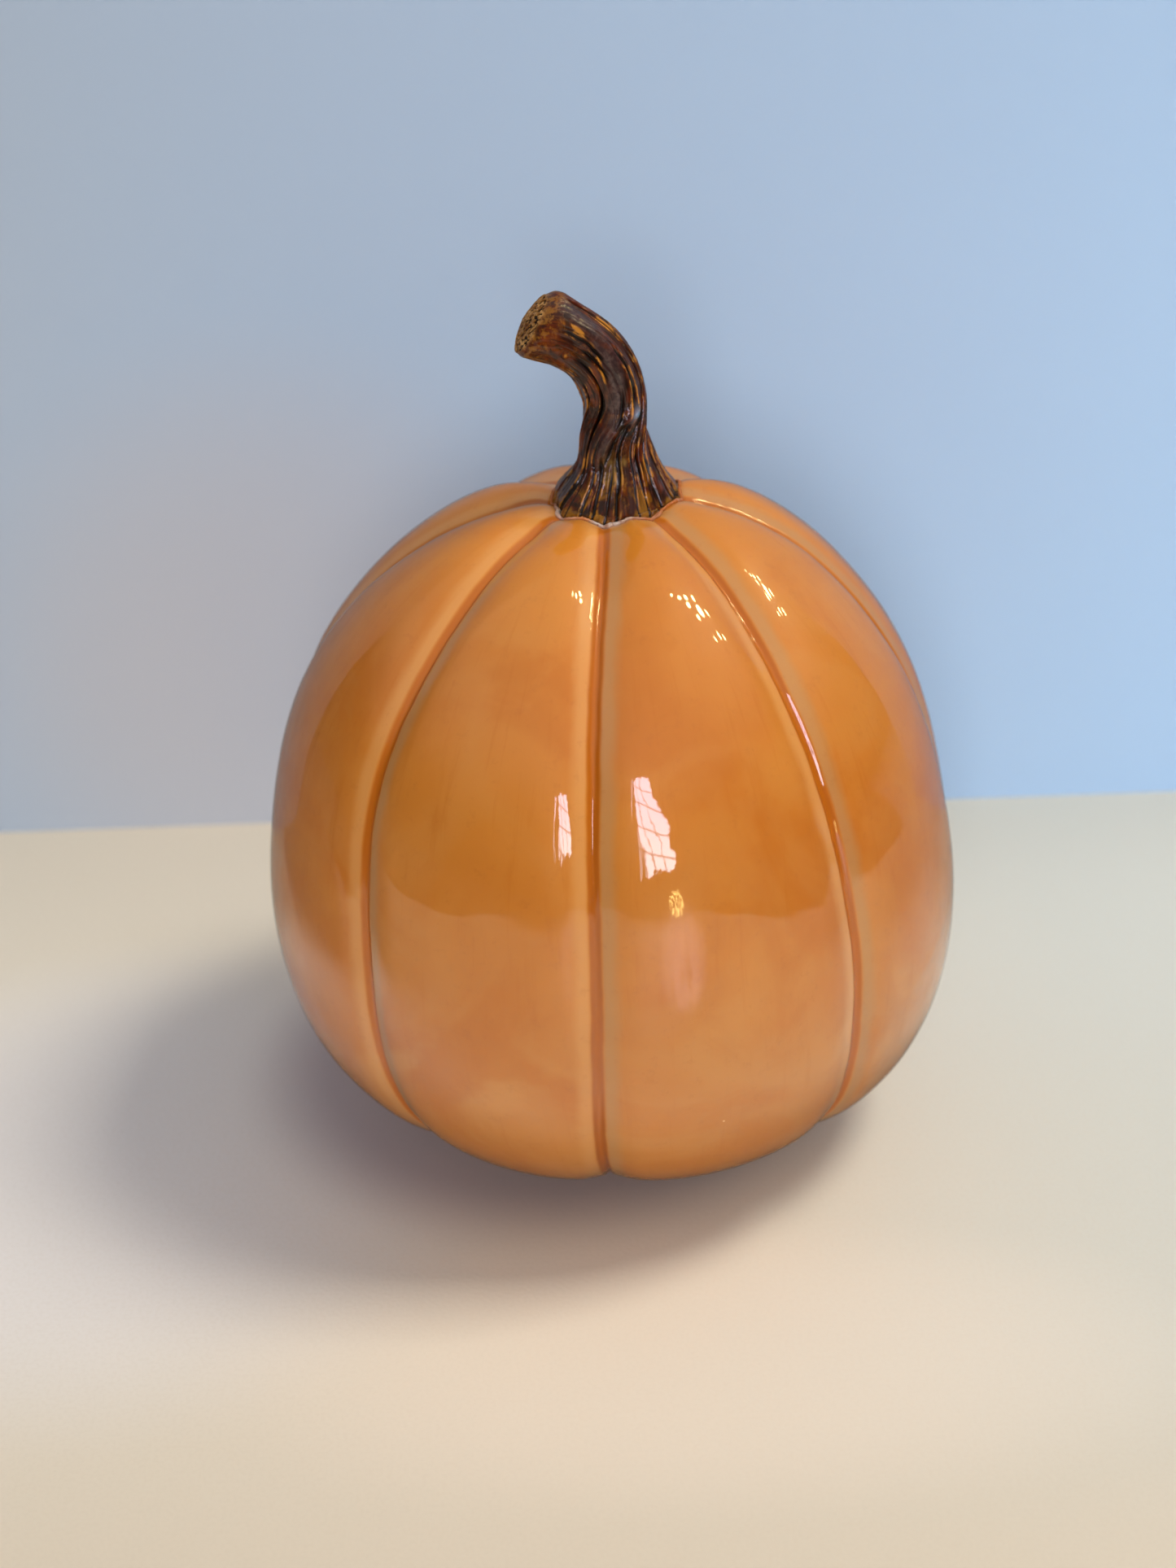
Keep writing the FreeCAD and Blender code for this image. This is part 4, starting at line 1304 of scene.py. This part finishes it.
def floor_material():
    material, net = new_material("pale_floor")
    coords = net.coords()
    x, y, _ = net.split(coords)
    grit = net.noise(coords, scale=900.0)
    place = net.node("ShaderNodeNewGeometry").outputs
    place_x, place_y, _ = net.split(place["Position"])
    ray = net.node("ShaderNodeLightPath").outputs
    glossy = ray["Is Glossy Ray"]
    surface = net.principled(
        Base_Color=floor_color(net, coords, x, y, grit), Roughness=0.55,
        Specular_IOR_Level=0.25, Normal=net.bump(grit, strength=0.15, distance=0.0003))
    # in reflections only, the floor turns dark there; near the foot this is a painted shade
    dark_in_glaze = net.mul(floor_dark_in_glaze_mask(net, x, y, place_x, place_y), glossy)
    surface = net.mix_shader(dark_in_glaze, surface, net.emission((0.085, 0.060, 0.042, 1)))
    # where the mirrored ray set out from
    start_x = net.scale_add(net.split(place["Incoming"])[0], ray["Ray Length"], place_x)
    surface = net.add_shader(surface, floor_glints(net, place_x, place_y, start_x, glossy))
    # away from the object the floor fades into the plain background
    fade = net.mul(net.fade(net.distance(x, y), over=(0.42, 1.10)), ray["Is Camera Ray"])
    plain = net.emission(BACKGROUND, strength=BACKGROUND_STRENGTH)
    net.finish(net.mix_shader(fade, surface, plain))
    return material


def wall_material():
    material, net = new_material("pale_backdrop")
    coords = net.coords()
    cloud = net.noise(coords, scale=2.0)
    x, _, z = net.split(coords)
    # painted light: brighter and bluer toward the right, where more light falls
    painted_light_rightward = net.fade(x, over=(-0.22, 0.24), kind="LINEAR")
    color = net.mix(painted_light_rightward, rgb(176, 189, 203), rgb(183, 211, 238))
    color = net.tint(color, rgb(190, 196, 216), net.fade(cloud, over=(0.3, 0.7)), amount=0.10)
    # painted shade darker toward the top, and painted warm light at the left of the object, as if
    # bounced off it
    color = net.tint(color, rgb(96, 116, 136), net.fade(z, over=(0.14, 0.36), to=(0.0, 0.14)))
    warm = net.ellipse(x, z, centre=(-0.105, 0.055), half=(0.10, 0.11))
    color = net.tint(color, rgb(206, 188, 172), net.fade(warm, over=(0.0, 1.4), to=(0.42, 0.0)))
    surface = net.principled(Base_Color=color, Roughness=0.85, Specular_IOR_Level=0.1)
    # a painted blue glow, stronger toward the right, though the wall is no lamp
    painted_blue_glow = net.emission(net.mix(painted_light_rightward, (0.0, 0.006, 0.014, 1), (0.0, 0.045, 0.130, 1)))
    surface = net.add_shader(surface, painted_blue_glow)
    # dimmer in reflections
    ray = net.node("ShaderNodeLightPath").outputs
    surface = net.mix_shader(net.mul(ray["Is Glossy Ray"], 0.62), surface,
                             net.emission((0.10, 0.065, 0.045, 1)))
    # from the sides and the back the camera looks past it
    place = net.node("ShaderNodeNewGeometry").outputs
    facing = net.mul(net.split(place["Incoming"])[1], -1.0)
    aside = net.mul(net.fade(facing, over=(0.68, 0.76), to=DOWN), ray["Is Camera Ray"])
    net.finish(net.mix_shader(net.larger(place["Backfacing"], aside), surface,
                              net.node("ShaderNodeBsdfTransparent").outputs[0]))
    return material


# glazing bars: place across or up the window, half width, as view slopes
UPRIGHT_BARS = (0.095, 0.170)
UPRIGHT_HALF = 0.0026
LEVEL_BARS = (0.20, 0.33, 0.46, 0.58)
LEVEL_HALF = 0.0030


def window_material():
    """Seen only in reflections: a slanting window with thin bars, ragged at
    its edges."""
    material, net = new_material("window_daylight")
    place = net.node("ShaderNodeNewGeometry").outputs
    position = place["Position"]
    x, _, z = net.split(position)
    across = net.div(x, 2.0)
    up = net.div(net.sub(z, 0.10), 2.0)
    ragged_x = net.sub(net.noise(position, scale=5.0, detail=5.0, rough=0.65), 0.5)
    ragged_z = net.sub(net.noise(position, scale=4.5, detail=5.0, rough=0.65,
                                 stretch=(1, 1, 1), shift=(3, 5, 7)), 0.5)
    slant = net.add(across, net.mul(net.sub(up, 0.30), 0.26))
    slant = net.scale_add(ragged_x, scale=0.120, plus=slant)
    level = net.scale_add(ragged_z, scale=0.190, plus=up)
    # where the mirrored ray set out from
    ray_length = net.node("ShaderNodeLightPath").outputs["Ray Length"]
    incoming = net.split(place["Incoming"])
    start_x = net.scale_add(incoming[0], ray_length, x)
    # wide and short as the left half mirrors it, narrow and tall in the right
    shape = net.mul(
        net.between(slant, rise=(-0.145, -0.135), fall=(0.232, 0.242)),
        net.larger(net.fade(slant, over=(-0.075, -0.065)),
                   net.fade(start_x, over=(0.001, -0.001))))
    tall = net.between(level, rise=(0.055, 0.065), fall=(0.640, 0.650))
    short = net.between(level, rise=(0.155, 0.165), fall=(0.520, 0.530))
    right = net.fade(start_x, over=(-0.001, 0.001))
    shape = net.mul(shape, net.add(net.mul(tall, right), net.mul(short, net.sub(1.0, right))))
    # dim streaked part on the left, bright part on the right
    streaks = net.noise(position, detail=3.0, rough=0.6, stretch=(9.0, 1.0, 0.8))
    dim = net.mul(net.fade(streaks, over=(0.47, 0.58)),
                  net.scale_add(right, scale=-0.40, plus=0.70))
    power = net.larger(dim, net.fade(slant, over=(0.010, 0.040)))
    bars = 1.0
    for line_scale, line_of, plus, places, half in (
            (0.05, up, slant, UPRIGHT_BARS, UPRIGHT_HALF),
            (0.30, across, up, LEVEL_BARS, LEVEL_HALF)):
        for bar in places:
            line = net.scale_add(line_of, line_scale, plus)
            gap = net.math("ABSOLUTE", net.sub(line, bar))
            bars = net.mul(net.fade(gap, over=(half, half + 0.004)), bars)
    power = net.mul(power, shape, net.scale_add(bars, scale=0.75, plus=0.25))
    color = net.mix(net.fade(up, over=(0.12, 0.45)), (1.0, 0.92, 1.0, 1), (0.96, 0.78, 0.98, 1))
    # the glaze high on the stem faces away from it
    start_z = net.scale_add(incoming[2], ray_length, z)
    power = net.mul(power, net.fade(start_z, over=(0.194, 0.202), to=(1.0, 0.05)))
    light = net.emission(color, strength=net.mul(power, 9.0))
    net.finish(net.add_shader(light, net.node("ShaderNodeBsdfTransparent").outputs[0]))
    return material


give(floor, floor_material())
give(wall, wall_material())
give(window, window_material())
window.visible_camera = False
window.visible_diffuse = False
window.visible_shadow = False


def make_world():
    """Pale for the camera, soft and even for shading, and for the glaze a
    dim room below a pale ceiling."""
    world = bpy.data.worlds.new("studio")
    bpy.context.scene.world = world
    world.use_nodes = True
    net = NodeNet(world.node_tree, "ShaderNodeOutputWorld")
    x, _, z = net.split(net.node("ShaderNodeTexCoord").outputs["Generated"])
    ray = net.node("ShaderNodeLightPath").outputs
    room = net.mix(net.fade(z, over=(0.26, 0.72)), (0.045, 0.028, 0.018, 1),
                   (0.56, 0.49, 0.40, 1))
    room = net.tint(room, (0.10, 0.08, 0.06, 1), net.fade(z, over=(-0.25, -0.12), to=DOWN))
    # brighter from above and from the right
    lit = net.mul(net.fade(z, over=(-0.3, 0.9), to=(0.34, 1.0)),
                  net.fade(x, over=(-0.9, 0.3), to=(0.42, 1.0)))
    soft = net.mix(lit, (0.02, 0.02, 0.02, 1), (0.48, 0.49, 0.55, 1))
    color = net.mix(ray["Is Glossy Ray"], soft, room)
    color = net.mix(ray["Is Camera Ray"], color, BACKGROUND)
    net.finish(net.fed("ShaderNodeBackground", color, BACKGROUND_STRENGTH))


make_world()

# ----------------------------------------------------------------- lights
LIGHT_CENTRE = Vector((0, 0, 0.10))
LAMP_DISTANCE = 1.6


def direction(azim, elev):
    around, up = math.radians(azim), math.radians(elev)
    return Vector((math.sin(around) * math.cos(up), -math.cos(around) * math.cos(up),
                   math.sin(up)))


def area_light(name, azim, elev, distance, target_z, width, height, power, color):
    """Rectangular light aimed at a point on the z axis; the camera and the
    glaze don't see it."""
    light = bpy.data.lights.new(name, "AREA")
    light.shape = "RECTANGLE"
    light.size = width
    light.size_y = height
    light.energy = power
    light.color = color
    obj = link_object(name, light)
    obj.location = LIGHT_CENTRE + direction(azim, elev) * distance
    aim = Vector((0, 0, target_z)) - (LIGHT_CENTRE + direction(azim, elev) * distance)
    obj.rotation_euler = aim.to_track_quat("-Z", "Y").to_euler()
    obj.visible_camera = False
    obj.visible_glossy = False


# warm key high on the right, and daylight in front
area_light("key", azim=92, elev=59, distance=LAMP_DISTANCE, target_z=0.08,
           width=0.46, height=0.46, power=18.5, color=(1.0, 0.95, 0.86))
area_light("daylight", azim=-3, elev=21, distance=2.2, target_z=0.10,
           width=0.62, height=1.05, power=26.0, color=(1.0, 0.97, 0.97))

# a cluster of warm lamps seen only in the glaze: azimuth, elevation, radius
LAMPS = (
    (100, 55.0, 0.058), (96.5, 62.0, 0.032), (103, 62.5, 0.030), (99.5, 66.5, 0.028),
    (92, 57.5, 0.030), (107, 57.0, 0.032), (105, 50.0, 0.026), (95, 49.0, 0.030),
    (100, 45.0, 0.024), (100, 71.0, 0.022), (88, 52.0, 0.020),
)
LAMP_POWER = 40.0 * 39.5         # watts per square metre of radius squared
for i, (azim, elev, radius) in enumerate(LAMPS):
    lamp = bpy.data.lights.new("lamp_%d" % i, "POINT")
    lamp.energy = LAMP_POWER * radius * radius
    lamp.color = (1.0, 0.78, 0.36)
    lamp.shadow_soft_size = radius
    obj = link_object("lamp_%d" % i, lamp)
    obj.location = LIGHT_CENTRE + direction(azim, elev) * LAMP_DISTANCE
    obj.visible_diffuse = False
    obj.visible_camera = False

# ----------------------------------------------------------------- camera
CAMERA_DISTANCE = 6.3906575      # body radii from the body's centre
CAMERA_ELEV = 0.4935212          # radians, as are the three turns
YAW, PITCH, ROLL = 0.01126548, -0.00764674, -0.03514779


def turn_about(axis, angle):
    """Rotation matrix about axis 0, 1 or 2."""
    matrix = np.eye(3)
    first, second = (axis + 1) % 3, (axis + 2) % 3
    matrix[first, first] = matrix[second, second] = math.cos(angle)
    matrix[first, second] = -math.sin(angle)
    matrix[second, first] = math.sin(angle)
    return matrix


def make_camera():
    level, rise = math.cos(CAMERA_ELEV), math.sin(CAMERA_ELEV)
    forward = np.array([0, level, -rise])
    right = np.array([1.0, 0, 0])
    # rows: right, down, forward
    view = np.stack([right, -np.cross(right, forward), forward])
    view = turn_about(2, ROLL) @ turn_about(0, PITCH) @ turn_about(1, YAW) @ view
    offset = np.array([0.0, -CAMERA_DISTANCE * level, CAMERA_DISTANCE * rise])
    position = offset * BODY_RADIUS + BODY_CENTRE
    data = bpy.data.cameras.new("camera")
    data.sensor_fit = "AUTO"
    data.sensor_width = 36.0
    data.lens = 50.254281266
    data.clip_start = 0.01
    data.dof.use_dof = True
    data.dof.focus_distance = 0.50
    data.dof.aperture_fstop = 9.0
    camera = link_object("camera", data)
    matrix = Matrix.Identity(4)
    for i in range(3):
        matrix[i][0] = view[0][i]
        matrix[i][1] = -view[1][i]
        matrix[i][2] = -view[2][i]
        matrix[i][3] = position[i] * MM
    camera.matrix_world = matrix
    bpy.context.scene.camera = camera


make_camera()
bpy.context.scene.view_settings.view_transform = "Standard"
bpy.context.scene.view_settings.look = "None"

bpy.context.view_layer.update()
